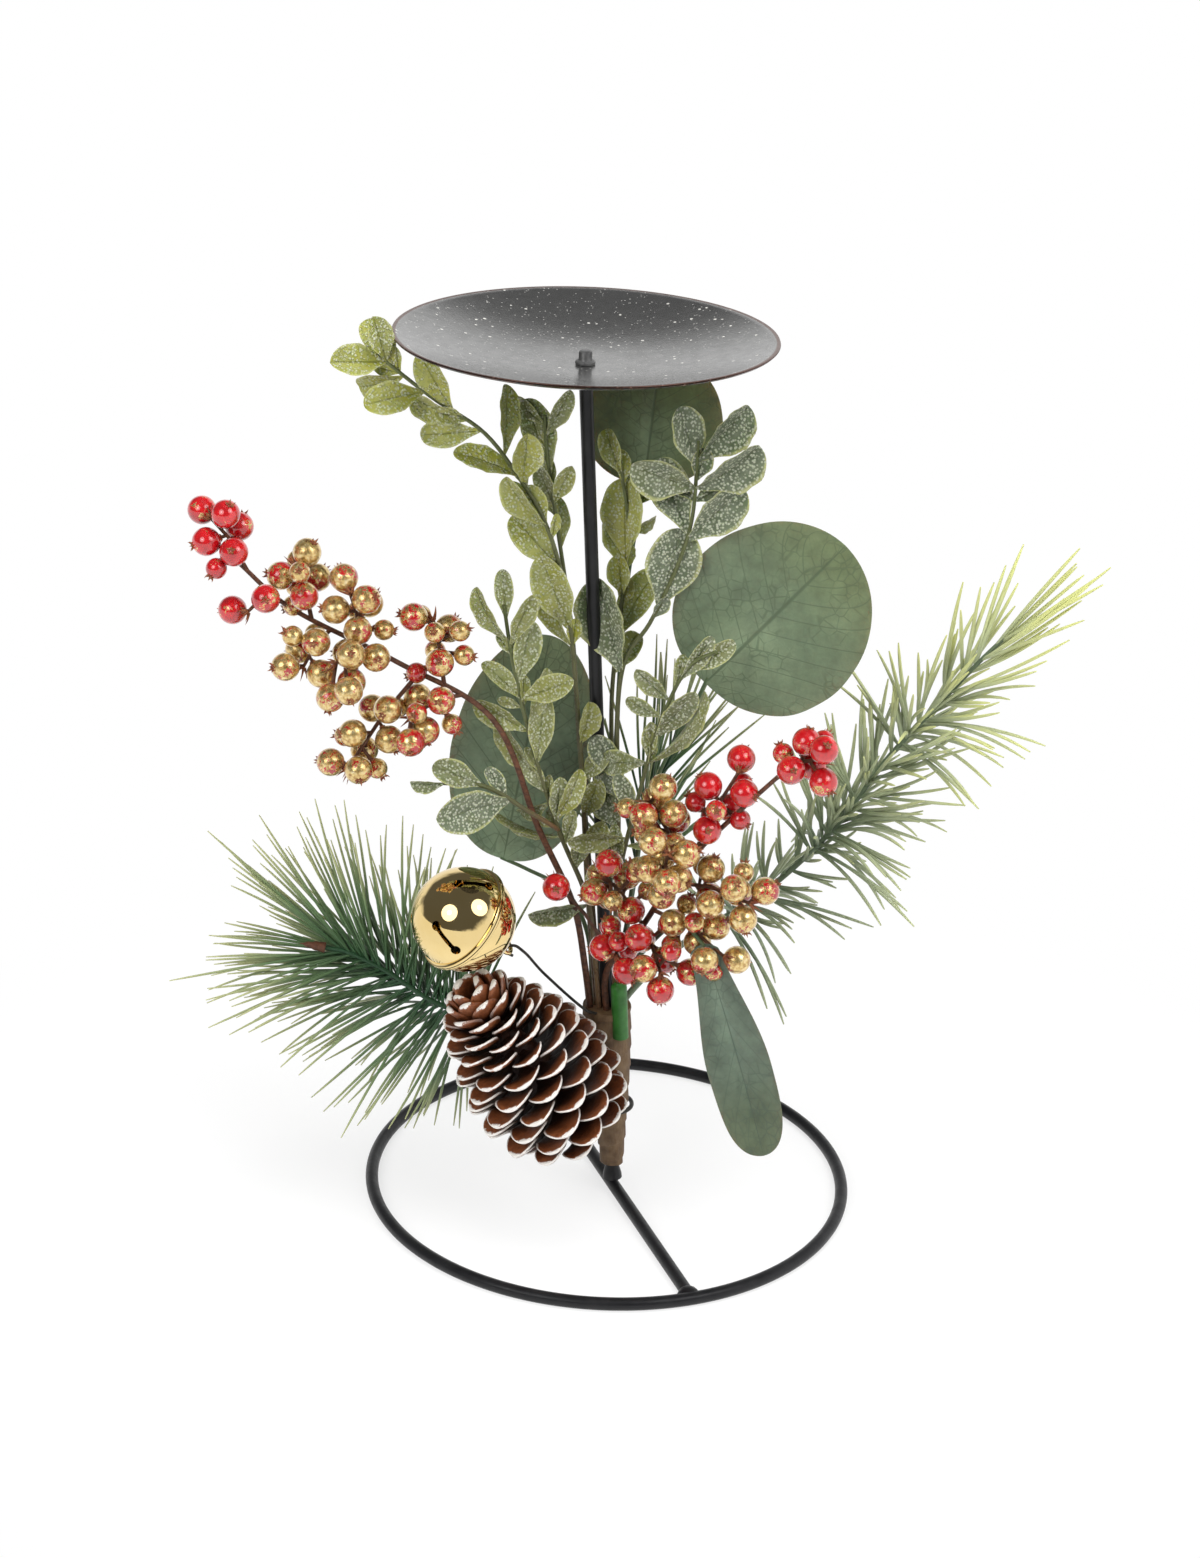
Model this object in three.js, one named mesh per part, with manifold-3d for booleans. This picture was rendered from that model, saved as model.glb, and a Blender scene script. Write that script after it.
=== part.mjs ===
// Christmas candlestick: a welded wire stand with a dish for a pillar candle, and an artificial winter
// bouquet (pine cone, jingle bell, berries, leaves and pine sprigs) bound to its rod with floral tape.
// Millimetres, +Z up. The origin is on the table under the middle of the ring, and the front faces -Y.

import * as THREE from 'three';
import { mergeVertices } from 'three/addons/utils/BufferGeometryUtils.js';
import Module from 'manifold-3d';

const wasm = await Module();
wasm.setup();

const vec = (x, y, z) => new THREE.Vector3(x, y, z);
const radians = THREE.MathUtils.degToRad;
const GOLDEN_ANGLE = Math.PI * (3 - Math.sqrt(5));
const UP = vec(0, 0, 1);

// Driving dimensions of the stand
const CLEARANCE = 0.3;
const WIRE_RADIUS = 2;
const RING_RADIUS = 75.5;
const BAR_ANGLE = radians(-69);
const WELD_RADIUS = 3.4;
const ROD_STATION = 5;
const ROD_LEAN = 18;
const ROD_WELD_HEIGHT = 3;
const TENON_RADIUS = 1;
const DISH_RADIUS = 55;
const DISH_DEPTH = 9;
const DISH_WALL = 1;
const DISH_SEAT_RADIUS = 9;
const DISH_RIM_HEIGHT = 280;
const RIVET_FLANGE_RADIUS = 2.8;
const RIVET_FLANGE_HEIGHT = 1.1;
const RIVET_RADIUS = 2;
const RIVET_HEIGHT = 4;

// Driving dimensions of the binding
const TAPE_TOP = 66;
const TAPE_BOTTOM = 10;
const TAPE_WALL = 0.7;
const STEM_RADIUS = 0.9;
const BRANCH_RADIUS = 1.1;
const THIN_WIRE_RADIUS = 0.45;
const PICK_RADIUS = 2.5;
const PICK_TURN = radians(-56);
const PICK_BELOW_TAPE = 8;
const PICK_ABOVE_TAPE = 11;

// Driving dimensions of the cone, the bell and the berries
const CONE_LENGTH = 68;
const CONE_RADIUS = 24;
const CONE_CORE_RADIUS = 8;
const CONE_SCALES = 52;
const SCALE_WIDTH = 13.5;
const SCALE_THICKNESS = 2.2;
const CONE_WIRE_HEIGHT = 31;
const BELL_RADIUS = 15.6;
const BELL_WALL = 1;
const BELL_RIM = 0.9;
const BELL_SLIT_WIDTH = 1.4;
const BELL_HOLE_RADIUS = 1.5;
const BELL_SWING = radians(8);
const LOOP_RADIUS = 2.7;
const LOOP_WIRE_RADIUS = 0.7;
const PELLET_RADIUS = 3.2;
const BERRY_RADIUS = 4.2;
const TWIG_RADIUS = 0.7;
const PEDICEL_LENGTH = 1.2;

// Driving dimensions of the leaves and needles
const SMALL_LEAF_WIDTH_SHARE = 0.56;
const BROAD_LEAF_WIDTH_SHARE = 0.68;
const LEAF_THICKNESS = 0.8;
const ROUND_LEAF_THICKNESS = 1;
const NEEDLE_RADIUS = 0.6;
const BUD_RADIUS = 1.6;
const BUD_LENGTH = 8;
const LEFT_NEEDLE_LENGTH = 61;
const RIGHT_NEEDLE_LENGTH = 42;
const BACK_NEEDLE_LENGTH = 49;

// Facets
const WIRE_SIDES = 8;
const RING_SEGMENTS = 28;
const DISH_SEGMENTS = 24;
const ROUND_SEGMENTS = 10;
const BELL_SEGMENTS = 16;
const STEM_SIDES = 5;
const STEM_STEPS = 1;
const BERRY_SIDES = 5;

const MATERIALS = {
  black_paint: { color: 0x202022, roughness: 0.45, metalness: 0.3 },
  dish_paint: { color: 0x5c5d60, roughness: 0.5, metalness: 0.3 },
  tape: { color: 0x785a37, roughness: 0.9, metalness: 0 },
  pick: { color: 0x2d6e23, roughness: 0.5, metalness: 0 },
  cone: { color: 0x6e3719, roughness: 0.8, metalness: 0 },
  gold: { color: 0xe1b95f, roughness: 0.15, metalness: 1 },
  wire: { color: 0x3a3a36, roughness: 0.5, metalness: 0.8 },
  bark: { color: 0x4a2c1c, roughness: 0.8, metalness: 0 },
  berry: { color: 0xb8352a, roughness: 0.3, metalness: 0.1 },
  frosted_leaf: { color: 0x96a56e, roughness: 0.8, metalness: 0 },
  round_leaf: { color: 0x5f785f, roughness: 0.7, metalness: 0 },
  needle: { color: 0x3f6b45, roughness: 0.7, metalness: 0 },
};

// Solids: conversion, joining and cutting

function toSolid(geometry) {
  const bare = new THREE.BufferGeometry();
  bare.setAttribute('position', geometry.getAttribute('position'));
  bare.setIndex(geometry.getIndex());
  const merged = mergeVertices(bare, 1e-4);
  const corners = merged.getIndex().array;
  const places = merged.getAttribute('position');
  const triangles = [];
  let volume = 0;
  for (let i = 0; i < corners.length; i += 3) {
    const [a, b, c] = corners.slice(i, i + 3);
    if (a === b || b === c || c === a) continue;
    const [p, q, r] = [a, b, c].map((n) => vec().fromBufferAttribute(places, n));
    volume += p.dot(q.cross(r));
    triangles.push([a, b, c]);
  }
  const outward = volume > 0 ? triangles : triangles.map(([a, b, c]) => [a, c, b]);
  return new wasm.Manifold(new wasm.Mesh({
    numProp: 3,
    vertProperties: new Float32Array(places.array),
    triVerts: new Uint32Array(outward.flat()),
  }));
}

function toGeometry(body) {
  const mesh = body.getMesh();
  const geometry = new THREE.BufferGeometry();
  geometry.setAttribute('position', new THREE.BufferAttribute(mesh.vertProperties, 3));
  geometry.setIndex(new THREE.BufferAttribute(mesh.triVerts, 1));
  return geometry;
}

const join = (bodies) => bodies.reduce((whole, body) => whole.add(body));

function largest(body) {
  const bodies = body.decompose();
  return bodies.reduce((best, next) => (next.volume() > best.volume() ? next : best));
}

// Forms: turned profiles, lofts through rings, swept stems and blades

// A profile of [radius, height] pairs turned round the Z axis.
function turned(profile, segments) {
  const points = profile.map(([radius, height]) => new THREE.Vector2(radius, height));
  return new THREE.LatheGeometry(points, segments).rotateX(Math.PI / 2);
}

const closed = (profile) => [...profile, profile[0]];

// A closed skin through rings of as many points each. An end is a ring, or a single point.
function loft(rings) {
  const sides = Math.max(...rings.map((ring) => ring.length));
  const places = [];
  const starts = [];
  for (const ring of rings) {
    starts.push(places.length);
    places.push(...ring);
  }
  const index = [];
  for (let k = 0; k + 1 < rings.length; k += 1) {
    for (let i = 0; i < sides; i += 1) {
      const j = (i + 1) % sides;
      const [low, high] = [rings[k], rings[k + 1]];
      const corner = (ring, start, n) => start + (ring.length === 1 ? 0 : n);
      const a = corner(low, starts[k], i);
      const b = corner(low, starts[k], j);
      const c = corner(high, starts[k + 1], j);
      const d = corner(high, starts[k + 1], i);
      if (a !== b) index.push(a, b, c);
      if (c !== d) index.push(a, c, d);
    }
  }
  for (let i = 1; i + 1 < rings[0].length; i += 1) index.push(0, i + 1, i);
  const last = starts[rings.length - 1];
  for (let i = 1; i + 1 < rings[rings.length - 1].length; i += 1) index.push(last, last + i, last + i + 1);
  const geometry = new THREE.BufferGeometry().setFromPoints(places);
  geometry.setIndex(index);
  return geometry;
}

// A round or tapering rod along a curve; a radius of zero at the end makes a point.
function sweep(curve, radiusAt, sides, steps) {
  const frames = curve.computeFrenetFrames(steps);
  const rings = [];
  for (let k = 0; k <= steps; k += 1) {
    const middle = curve.getPointAt(k / steps);
    const radius = radiusAt(k / steps);
    const ring = [];
    for (let i = 0; i < (radius > 0 ? sides : 1); i += 1) {
      const angle = (i * 2 * Math.PI) / sides;
      const point = middle.clone();
      point.addScaledVector(frames.normals[k], Math.cos(angle) * radius);
      point.addScaledVector(frames.binormals[k], Math.sin(angle) * radius);
      ring.push(point);
    }
    rings.push(ring);
  }
  return toSolid(loft(rings));
}

const curveThrough = (points) => new THREE.CatmullRomCurve3(points, false, 'centripetal');

// Sections of a blade as [across, up] pairs: a broad leaf is a cupped lens, and a small leaf or a scale has a
// flat face with a keel behind it. The keeled section's room is a plain oblong round it.
function broadSection(half, { thickness, cup }, grow) {
  const height = thickness / 2 + grow;
  const lift = cup * half;
  const shoulder = [half / 2, lift / 3 + height * 0.8];
  const hollow = [half / 2, lift / 3 - height * 0.8];
  const edge = grow === 0 ? [[half, lift]] : [[half + grow, lift + grow], [half + grow, lift - grow]];
  const right = [shoulder, ...edge, hollow];
  const left = right.map(([across, up]) => [-across, up]).reverse();
  return [[0, height], ...right, [0, -height], ...left];
}

function keeledSection(half, { thickness }, grow) {
  if (grow === 0) return [[half, 0], [0, -thickness], [-half, 0]];
  const [across, low] = [half + grow, -thickness - grow];
  return [[across, grow], [across, low], [-across, low], [-across, grow]];
}

// A leaf or scale: its section at each station of a bent midrib, from a point to a point.
function blade(spec, grow = 0) {
  const along = spec.along.clone().normalize();
  const facing = spec.facing.clone().projectOnPlane(along).normalize();
  const side = vec().crossVectors(along, facing);
  const length = spec.length + 2 * grow;
  const middle = spec.base.clone().addScaledVector(along, -grow);
  const rings = [[middle.clone()]];
  let passed = 0;
  for (const station of [...spec.stations, 1]) {
    const turn = (spec.bend * (passed + station)) / 2;
    const forward = along.clone().multiplyScalar(Math.cos(turn)).addScaledVector(facing, -Math.sin(turn));
    const normal = facing.clone().multiplyScalar(Math.cos(turn)).addScaledVector(along, Math.sin(turn));
    middle.addScaledVector(forward, length * (station - passed));
    const half = (spec.width / 2) * spec.outline(station);
    const section = station === 1 ? [[0, 0]] : spec.section(half, spec, grow);
    rings.push(section.map(([across, up]) => (
      middle.clone().addScaledVector(side, across).addScaledVector(normal, up)
    )));
    passed = station;
  }
  return toSolid(loft(rings));
}

// The parts list: each piece has its solid and its room, the solid grown by the clearance, which the
// pieces made after it are cut back from.

const pieces = [];

function addPiece(name, material, body, room) {
  pieces.push({ name, material, body, room });
}

function cutBack(body, others) {
  const box = body.boundingBox();
  const near = others.filter(({ room }) => {
    const other = room.boundingBox();
    return [0, 1, 2].every((i) => other.min[i] < box.max[i] && other.max[i] > box.min[i]);
  });
  return near.reduce((left, { room }) => left.subtract(room), body);
}

// Stand: ring, crossbar, leaning rod, dish and rivet

const ROD_FOOT = vec(ROD_STATION, 0, 0).applyAxisAngle(UP, BAR_ANGLE).setZ(2 * WIRE_RADIUS + CLEARANCE);
const SEAT_HEIGHT = DISH_RIM_HEIGHT - DISH_DEPTH;
const SHOULDER_HEIGHT = SEAT_HEIGHT - DISH_WALL - CLEARANCE;
const LEAN = -ROD_LEAN / (SHOULDER_HEIGHT - ROD_FOOT.z);

const rodAxis = (height) => vec(ROD_FOOT.x + LEAN * (height - ROD_FOOT.z), ROD_FOOT.y, height);
const leaning = new THREE.Matrix4().makeShear(0, 0, 0, 0, LEAN, 0);
leaning.setPosition(rodAxis(0));

function wireSection(radius) {
  const corner = radius / Math.cos(Math.PI / WIRE_SIDES);
  return Array.from({ length: WIRE_SIDES }, (_, i) => {
    const angle = ((i + 0.5) * 2 * Math.PI) / WIRE_SIDES;
    return [corner * Math.cos(angle), corner * Math.sin(angle)];
  });
}

function ringBody(grow = 0) {
  const section = wireSection(WIRE_RADIUS + grow);
  const profile = section.map(([x, y]) => [RING_RADIUS + x, WIRE_RADIUS + y]);
  return toSolid(turned(closed(profile), RING_SEGMENTS));
}

function crossbarBody(grow = 0) {
  const section = wireSection(WIRE_RADIUS + grow).map(([x, y]) => new THREE.Vector2(x, y));
  const bar = new THREE.ExtrudeGeometry(new THREE.Shape(section), {
    depth: 2 * RING_RADIUS,
    bevelEnabled: false,
  });
  bar.rotateX(Math.PI / 2).translate(0, RING_RADIUS, WIRE_RADIUS).rotateZ(BAR_ANGLE + Math.PI / 2);
  const welds = [0, Math.PI].map((turn) => {
    const bead = new THREE.SphereGeometry(1, 8, 5);
    bead.scale(WELD_RADIUS + grow, WELD_RADIUS + grow, WIRE_RADIUS + grow);
    bead.translate(RING_RADIUS - WIRE_RADIUS, 0, WIRE_RADIUS).rotateZ(BAR_ANGLE + turn);
    return toSolid(bead);
  });
  return join([toSolid(bar), ...welds]);
}

function rodBody(grow = 0) {
  const profile = [
    [0, ROD_FOOT.z - grow],
    [WIRE_RADIUS * 1.5 + grow, ROD_FOOT.z - grow],
    [WIRE_RADIUS * 1.2 + grow, ROD_FOOT.z + ROD_WELD_HEIGHT / 2],
    [WIRE_RADIUS + grow, ROD_FOOT.z + ROD_WELD_HEIGHT],
    [WIRE_RADIUS + grow, SHOULDER_HEIGHT + grow],
    [TENON_RADIUS + grow, SHOULDER_HEIGHT + grow],
    [TENON_RADIUS + grow, SEAT_HEIGHT + RIVET_HEIGHT / 2 + grow],
    [0, SEAT_HEIGHT + RIVET_HEIGHT / 2 + grow],
  ];
  return toSolid(turned(profile, ROUND_SEGMENTS).applyMatrix4(leaning));
}

const DISH_CURVE = 1.7;
const DISH_STEPS = 3;

function dishBody(grow = 0) {
  const hole = TENON_RADIUS + CLEARANCE - grow;
  const inner = [hole, SEAT_HEIGHT + grow];
  const seat = [RIVET_FLANGE_RADIUS + CLEARANCE, SEAT_HEIGHT + grow];
  const upper = [];
  for (let k = 0; k <= DISH_STEPS; k += 1) {
    const share = k / DISH_STEPS;
    const radius = DISH_SEAT_RADIUS + (DISH_RADIUS - DISH_SEAT_RADIUS) * share;
    const height = SEAT_HEIGHT + DISH_DEPTH * share ** DISH_CURVE;
    upper.push([radius + (k === DISH_STEPS ? grow : 0), height + grow]);
  }
  const under = DISH_WALL + 2 * grow;
  const lower = [inner, ...upper].map(([radius, height]) => [radius, height - under]).reverse();
  const centre = rodAxis(SEAT_HEIGHT);
  const dish = turned(closed([inner, seat, ...upper, ...lower]), DISH_SEGMENTS);
  return toSolid(dish.translate(centre.x, centre.y, 0));
}

function rivetBody(grow = 0) {
  const foot = SEAT_HEIGHT + CLEARANCE - grow;
  const socket = SEAT_HEIGHT + RIVET_HEIGHT / 2 + CLEARANCE;
  const bore = TENON_RADIUS + CLEARANCE;
  const profile = [
    [0, socket],
    [bore, socket],
    [bore, foot],
    [RIVET_FLANGE_RADIUS + grow, foot],
    [RIVET_FLANGE_RADIUS + grow, SEAT_HEIGHT + RIVET_FLANGE_HEIGHT],
    [RIVET_RADIUS + grow, SEAT_HEIGHT + RIVET_FLANGE_HEIGHT + CLEARANCE],
    [RIVET_RADIUS + grow, SEAT_HEIGHT + RIVET_HEIGHT * 0.8],
    [RIVET_RADIUS / 2 + grow, SEAT_HEIGHT + RIVET_HEIGHT + grow],
    [0, SEAT_HEIGHT + RIVET_HEIGHT + grow],
  ];
  const centre = rodAxis(SEAT_HEIGHT);
  return toSolid(turned(profile, ROUND_SEGMENTS).translate(centre.x, centre.y, 0));
}

addPiece('base_ring', 'black_paint', ringBody(), ringBody(CLEARANCE));
const crossbar = largest(crossbarBody().subtract(ringBody(CLEARANCE)));
addPiece('crossbar', 'black_paint', crossbar, crossbarBody(CLEARANCE));
addPiece('upright_rod', 'black_paint', rodBody(), rodBody(CLEARANCE));
addPiece('candle_dish', 'dish_paint', dishBody(), dishBody(CLEARANCE));
addPiece('dish_rivet', 'black_paint', rivetBody(), rivetBody(CLEARANCE));

// Stems. A route's points are [right, back, up] from the rod's axis at that height, with up counted from the
// top of the tape. Above the tape, heights keep their share of the drawn rise from the tape to the rim of the
// dish, so that the bouquet follows the rod, its binding and the dish.

const DRAWN_RISE = 214;
const RISE_SCALE = (DISH_RIM_HEIGHT - TAPE_TOP) / DRAWN_RISE;
const at = ([x, y, z]) => rodAxis(TAPE_TOP + (z > 0 ? z * RISE_SCALE : z)).add(vec(x, y, 0));
const INNER_SLOT = WIRE_RADIUS + CLEARANCE + STEM_RADIUS;
const OUTER_SLOT = INNER_SLOT + STEM_RADIUS + CLEARANCE + STEM_RADIUS;
const INNER_BRANCH_SLOT = WIRE_RADIUS + CLEARANCE + BRANCH_RADIUS;
const OUTER_BRANCH_SLOT = INNER_SLOT + STEM_RADIUS + CLEARANCE + BRANCH_RADIUS;
const TAPE_FOOT_RADIUS = WIRE_RADIUS + CLEARANCE + 2 * TAPE_WALL;
const TAPE_TOP_RADIUS = OUTER_BRANCH_SLOT + BRANCH_RADIUS + CLEARANCE + TAPE_WALL;
const INNER_DEPTH = -14;
const OUTER_DEPTH = -9;
const MOUTH = -2;
const slot = (reach, turn, up) => [reach * Math.cos(radians(turn)), reach * Math.sin(radians(turn)), up];
const bound = (reach, turn, low, high) => [slot(reach, turn, low), slot(reach, turn, high)];

const PICK_AT = [TAPE_TOP_RADIUS * Math.cos(PICK_TURN), TAPE_TOP_RADIUS * Math.sin(PICK_TURN)];

const STEMS = {
  berry_stem_right: {
    radius: BRANCH_RADIUS,
    route: [...bound(INNER_BRANCH_SLOT, -90, INNER_DEPTH, MOUTH), [0.5, -6, 14], [11.8, -19.3, 36],
      [24.5, -29.3, 61], [42, -37.3, 84], [54, -39.3, 97]],
  },
  berry_stem_left: {
    radius: BRANCH_RADIUS,
    route: [...bound(OUTER_BRANCH_SLOT, -160, OUTER_DEPTH, MOUTH), [-6.2, -5, 16], [-8.7, -9.5, 38],
      [-18.2, -13.3, 65], [-30.7, -17.3, 102], [-57.6, -19.3, 119], [-88.5, -19.3, 135], [-101, -19.3, 147]],
  },
  leaf_spray_top: {
    radius: STEM_RADIUS,
    route: [...bound(INNER_SLOT, 180, INNER_DEPTH, MOUTH), [-4.6, -1.5, 40], [-5.2, -4, 90], [-8, -7, 139],
      [-12.8, -9.3, 160], [-19.8, -11.3, 174], [-29, -12.3, 187], [-43.3, -13.3, 197], [-58.4, -13.3, 209]],
  },
  leaf_spray_centre: {
    radius: STEM_RADIUS,
    route: [...bound(INNER_SLOT, 135, INNER_DEPTH, MOUTH), [-3.8, 3.5, 40], [-5.8, 2, 90], [-6.5, -0.5, 123],
      [-9.5, -1, 154], [-11.8, -2, 178], [-12, -2, 190]],
  },
  leaf_spray_back: {
    radius: STEM_RADIUS,
    route: [...bound(INNER_SLOT, 45, INNER_DEPTH, MOUTH), [4, 4.5, 40], [4.4, 6.7, 100], [8.3, 7.7, 131],
      [10.9, 7.7, 156], [8.3, 7.7, 176]],
  },
  leaf_spray_right: {
    radius: STEM_RADIUS,
    route: [...bound(INNER_SLOT, 0, INNER_DEPTH, MOUTH), [4.6, -1, 30], [5.4, -2, 60], [8.6, -3.3, 115],
      [17.2, -5.3, 130], [29, -7.3, 159], [32, -7.3, 186]],
  },
  leaf_spray_left: {
    radius: STEM_RADIUS,
    route: [...bound(INNER_SLOT, -135, INNER_DEPTH, MOUTH), [-3, -4.8, 18], [-4.5, -7.5, 39],
      [-12.3, -11.3, 64], [-19.2, -15.3, 94], [-23.5, -17.3, 120], [-25.3, -17.3, 137]],
  },
  leaf_spray_low: {
    radius: STEM_RADIUS,
    route: [...bound(INNER_SLOT, -45, INNER_DEPTH, MOUTH), [3.5, -4.4, 20], [5, -6, 45], [12.7, -13.3, 79],
      [19.4, -17.3, 103], [28.7, -19.3, 122], [36, -21.3, 127]],
  },
  round_leaf_right: {
    radius: STEM_RADIUS,
    route: [...bound(OUTER_SLOT, 8, OUTER_DEPTH, MOUTH), [7.6, 1.6, 30], [16.5, -1.5, 75], [28.2, -2.3, 100],
      [33.5, -3.3, 112]],
  },
  round_leaf_back: {
    radius: STEM_RADIUS,
    route: [...bound(INNER_SLOT, 90, INNER_DEPTH, MOUTH), [2, 7, 35], [3.8, 10.7, 65], [9, 19, 127],
      [16, 24, 165]],
  },
  round_leaf_left: {
    radius: STEM_RADIUS,
    route: [...bound(OUTER_SLOT, 150, OUTER_DEPTH, MOUTH), [-5.6, 6, 22], [-12, 9.5, 34], [-24, 11.5, 40],
      [-32, 12.7, 43]],
  },
  strap_leaf: {
    radius: STEM_RADIUS,
    route: [[...PICK_AT, 5], [...PICK_AT, 12], [11, -15.3, 25], [24.4, -31.3, 44], [31.1, -37.3, 40]],
  },
  pine_sprig_left: {
    radius: BRANCH_RADIUS,
    route: [...bound(INNER_BRANCH_SLOT, 180, -38, -27), [-8, -2.5, -16], [-27, -5.3, -6], [-51.5, -7.3, 1],
      [-68, -7.3, 12], [-80, -7.3, 18], [-86, -7.3, 19]],
  },
  pine_sprig_right: {
    radius: BRANCH_RADIUS,
    route: [...bound(OUTER_BRANCH_SLOT, 34, OUTER_DEPTH, MOUTH), [11, 8, 5], [26.6, 12.7, 18],
      [48.6, 14.7, 33], [71, 16.7, 55], [88.9, 16.7, 81], [104, 16.7, 99], [116, 15.1, 114],
      [123, 14.3, 122]],
  },
  pine_sprig_back: {
    radius: STEM_RADIUS,
    route: [...bound(OUTER_SLOT, 68, OUTER_DEPTH, MOUTH), [5, 10, 14], [8.4, 14.7, 30], [14.7, 16.7, 63],
      [22, 18.2, 78]],
  },
};

function stemBody({ radius, route }, grow = 0) {
  const curve = curveThrough(route.map(at));
  const taper = (share) => radius * (1 - 0.4 * share) + grow;
  return sweep(curve, taper, STEM_SIDES + (grow > 0 ? 1 : 0), STEM_STEPS + route.length);
}

const stems = {};
for (const [name, stem] of Object.entries(STEMS)) {
  const others = [...pieces, ...Object.values(stems)];
  stems[name] = {
    curve: curveThrough(stem.route.map(at)),
    body: largest(cutBack(stemBody(stem), others)),
    room: stemBody(stem, CLEARANCE),
  };
}

const allStemsBut = (name) => Object.values(stems).filter((stem) => stem !== stems[name]);

// Binding: the tape round the rod and the stems, and the thick pick stem beside it

const tapeRadius = (height) => {
  const share = (height - TAPE_BOTTOM) / (TAPE_TOP - TAPE_BOTTOM);
  return TAPE_FOOT_RADIUS + (TAPE_TOP_RADIUS - TAPE_FOOT_RADIUS) * Math.sin((share * Math.PI) / 2) ** 1.2;
};
const TAPE_STEPS = 4;

// The tape is a thin sleeve: tight on the rod at its foot, and round the outermost stems at its top.
function tapeBody(grow = 0) {
  const outer = [];
  const inner = [];
  for (let k = 0; k <= TAPE_STEPS; k += 1) {
    const share = k / TAPE_STEPS;
    const height = TAPE_BOTTOM + (TAPE_TOP - TAPE_BOTTOM) * share;
    const radius = tapeRadius(height);
    outer.push([radius + grow, height + grow * (2 * share - 1)]);
    inner.unshift([Math.max(radius - TAPE_WALL, WIRE_RADIUS + CLEARANCE), height]);
  }
  const whole = [[0, outer[0][1]], ...outer, [0, outer[TAPE_STEPS][1]]];
  const sleeve = closed([...outer, ...inner]);
  return toSolid(turned(grow > 0 ? whole : sleeve, ROUND_SEGMENTS).applyMatrix4(leaning));
}

function pickBody(grow = 0) {
  const ends = [[...PICK_AT, -PICK_BELOW_TAPE - grow], [...PICK_AT, PICK_ABOVE_TAPE + grow]];
  return sweep(new THREE.LineCurve3(...ends.map(at)), () => PICK_RADIUS + grow, WIRE_SIDES, 1);
}

addPiece('pick_stem', 'pick', largest(cutBack(pickBody(), Object.values(stems))), pickBody(CLEARANCE));
const tape = largest(cutBack(tapeBody(), [...pieces, ...Object.values(stems)]));
addPiece('stem_tape', 'tape', tape, tapeBody(CLEARANCE));

// Pine cone: a spindle with scales in a golden-angle spiral, standing on its wire

const CONE_BASE = at([-7.7, -20.9, -33.5]);
const CONE_APEX_TOWARDS = at([-41.2, -33.5, 21.9]);
const CONE_AXIS = CONE_APEX_TOWARDS.clone().sub(CONE_BASE).normalize();
const coneTurn = new THREE.Quaternion().setFromUnitVectors(UP, CONE_AXIS);
const CONE_WIDEST = 0.3;

function coneRadius(share) {
  if (share < CONE_WIDEST) return CONE_RADIUS * (1 - 0.35 * (1 - share / CONE_WIDEST) ** 2);
  return CONE_RADIUS * (1 - 0.72 * ((share - CONE_WIDEST) / (1 - CONE_WIDEST)) ** 1.9);
}

const coreSwell = (share) => Math.sin(Math.PI * Math.min(1, share + 0.15));
const coreRadius = (share) => CONE_CORE_RADIUS * (0.45 + 0.55 * coreSwell(share));
const scaleOutline = (share) => Math.sqrt(share);

// How far a scale leans from the cone's axis: splayed at the foot, closing over the apex.
const scaleLean = (share) => radians(104 - 74 * share ** 1.4);

function coneScale(i) {
  const share = 0.01 + 0.95 * ((i + 0.5) / CONE_SCALES) ** 0.92;
  const lean = scaleLean(share);
  const outward = vec(1, 0, 0).applyAxisAngle(UP, i * GOLDEN_ANGLE);
  const root = Math.max(coreRadius(share) - 2, 1);
  const length = (coneRadius(share) - root) / Math.max(Math.sin(lean), 0.55);
  const along = UP.clone().multiplyScalar(Math.cos(lean)).addScaledVector(outward, Math.sin(lean));
  const base = outward.clone().multiplyScalar(root).setZ(share * CONE_LENGTH - length * Math.cos(lean) * 0.6);
  return blade({
    base,
    along,
    facing: UP.clone().multiplyScalar(Math.sin(lean)).addScaledVector(outward, -Math.cos(lean)),
    length,
    width: SCALE_WIDTH * (0.45 + 0.55 * (coneRadius(share) / CONE_RADIUS)),
    thickness: SCALE_THICKNESS,
    bend: radians(-18),
    section: keeledSection,
    outline: scaleOutline,
    stations: [0.5, 0.88],
  });
}

function coneCore() {
  const steps = 5;
  const profile = Array.from({ length: steps }, (_, k) => {
    const share = k / (steps - 1);
    return [coreRadius(share), CONE_LENGTH * 0.94 * share];
  });
  const last = profile[steps - 1];
  return toSolid(turned([[0, 0], ...profile, [0, last[1] + last[0] / 2]], WIRE_SIDES));
}

// The cone's outer form, as the room that other pieces keep out of.
function coneRoom() {
  const steps = 8;
  const profile = Array.from({ length: steps }, (_, k) => {
    const share = k / (steps - 1);
    return [coneRadius(share) + CLEARANCE, CONE_LENGTH * share];
  });
  const top = CONE_LENGTH + coneRadius(1) / 2;
  return toSolid(turned([[0, -SCALE_THICKNESS], ...profile, [0, top]], ROUND_SEGMENTS));
}

const placeCone = new THREE.Matrix4().compose(CONE_BASE, coneTurn, vec(1, 1, 1));
const moved = (body, matrix) => body.transform(matrix.toArray());
const scales = Array.from({ length: CONE_SCALES }, (_, i) => coneScale(i));
const coneWhole = moved(join([coneCore(), ...scales]), placeCone);

// The wire that carries the cone: a turn round the tape, and a tail into the cone's foot
const CONE_WIRE_RADIUS = 0.7;
const CONE_WIRE_DEPTH = 6;

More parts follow.
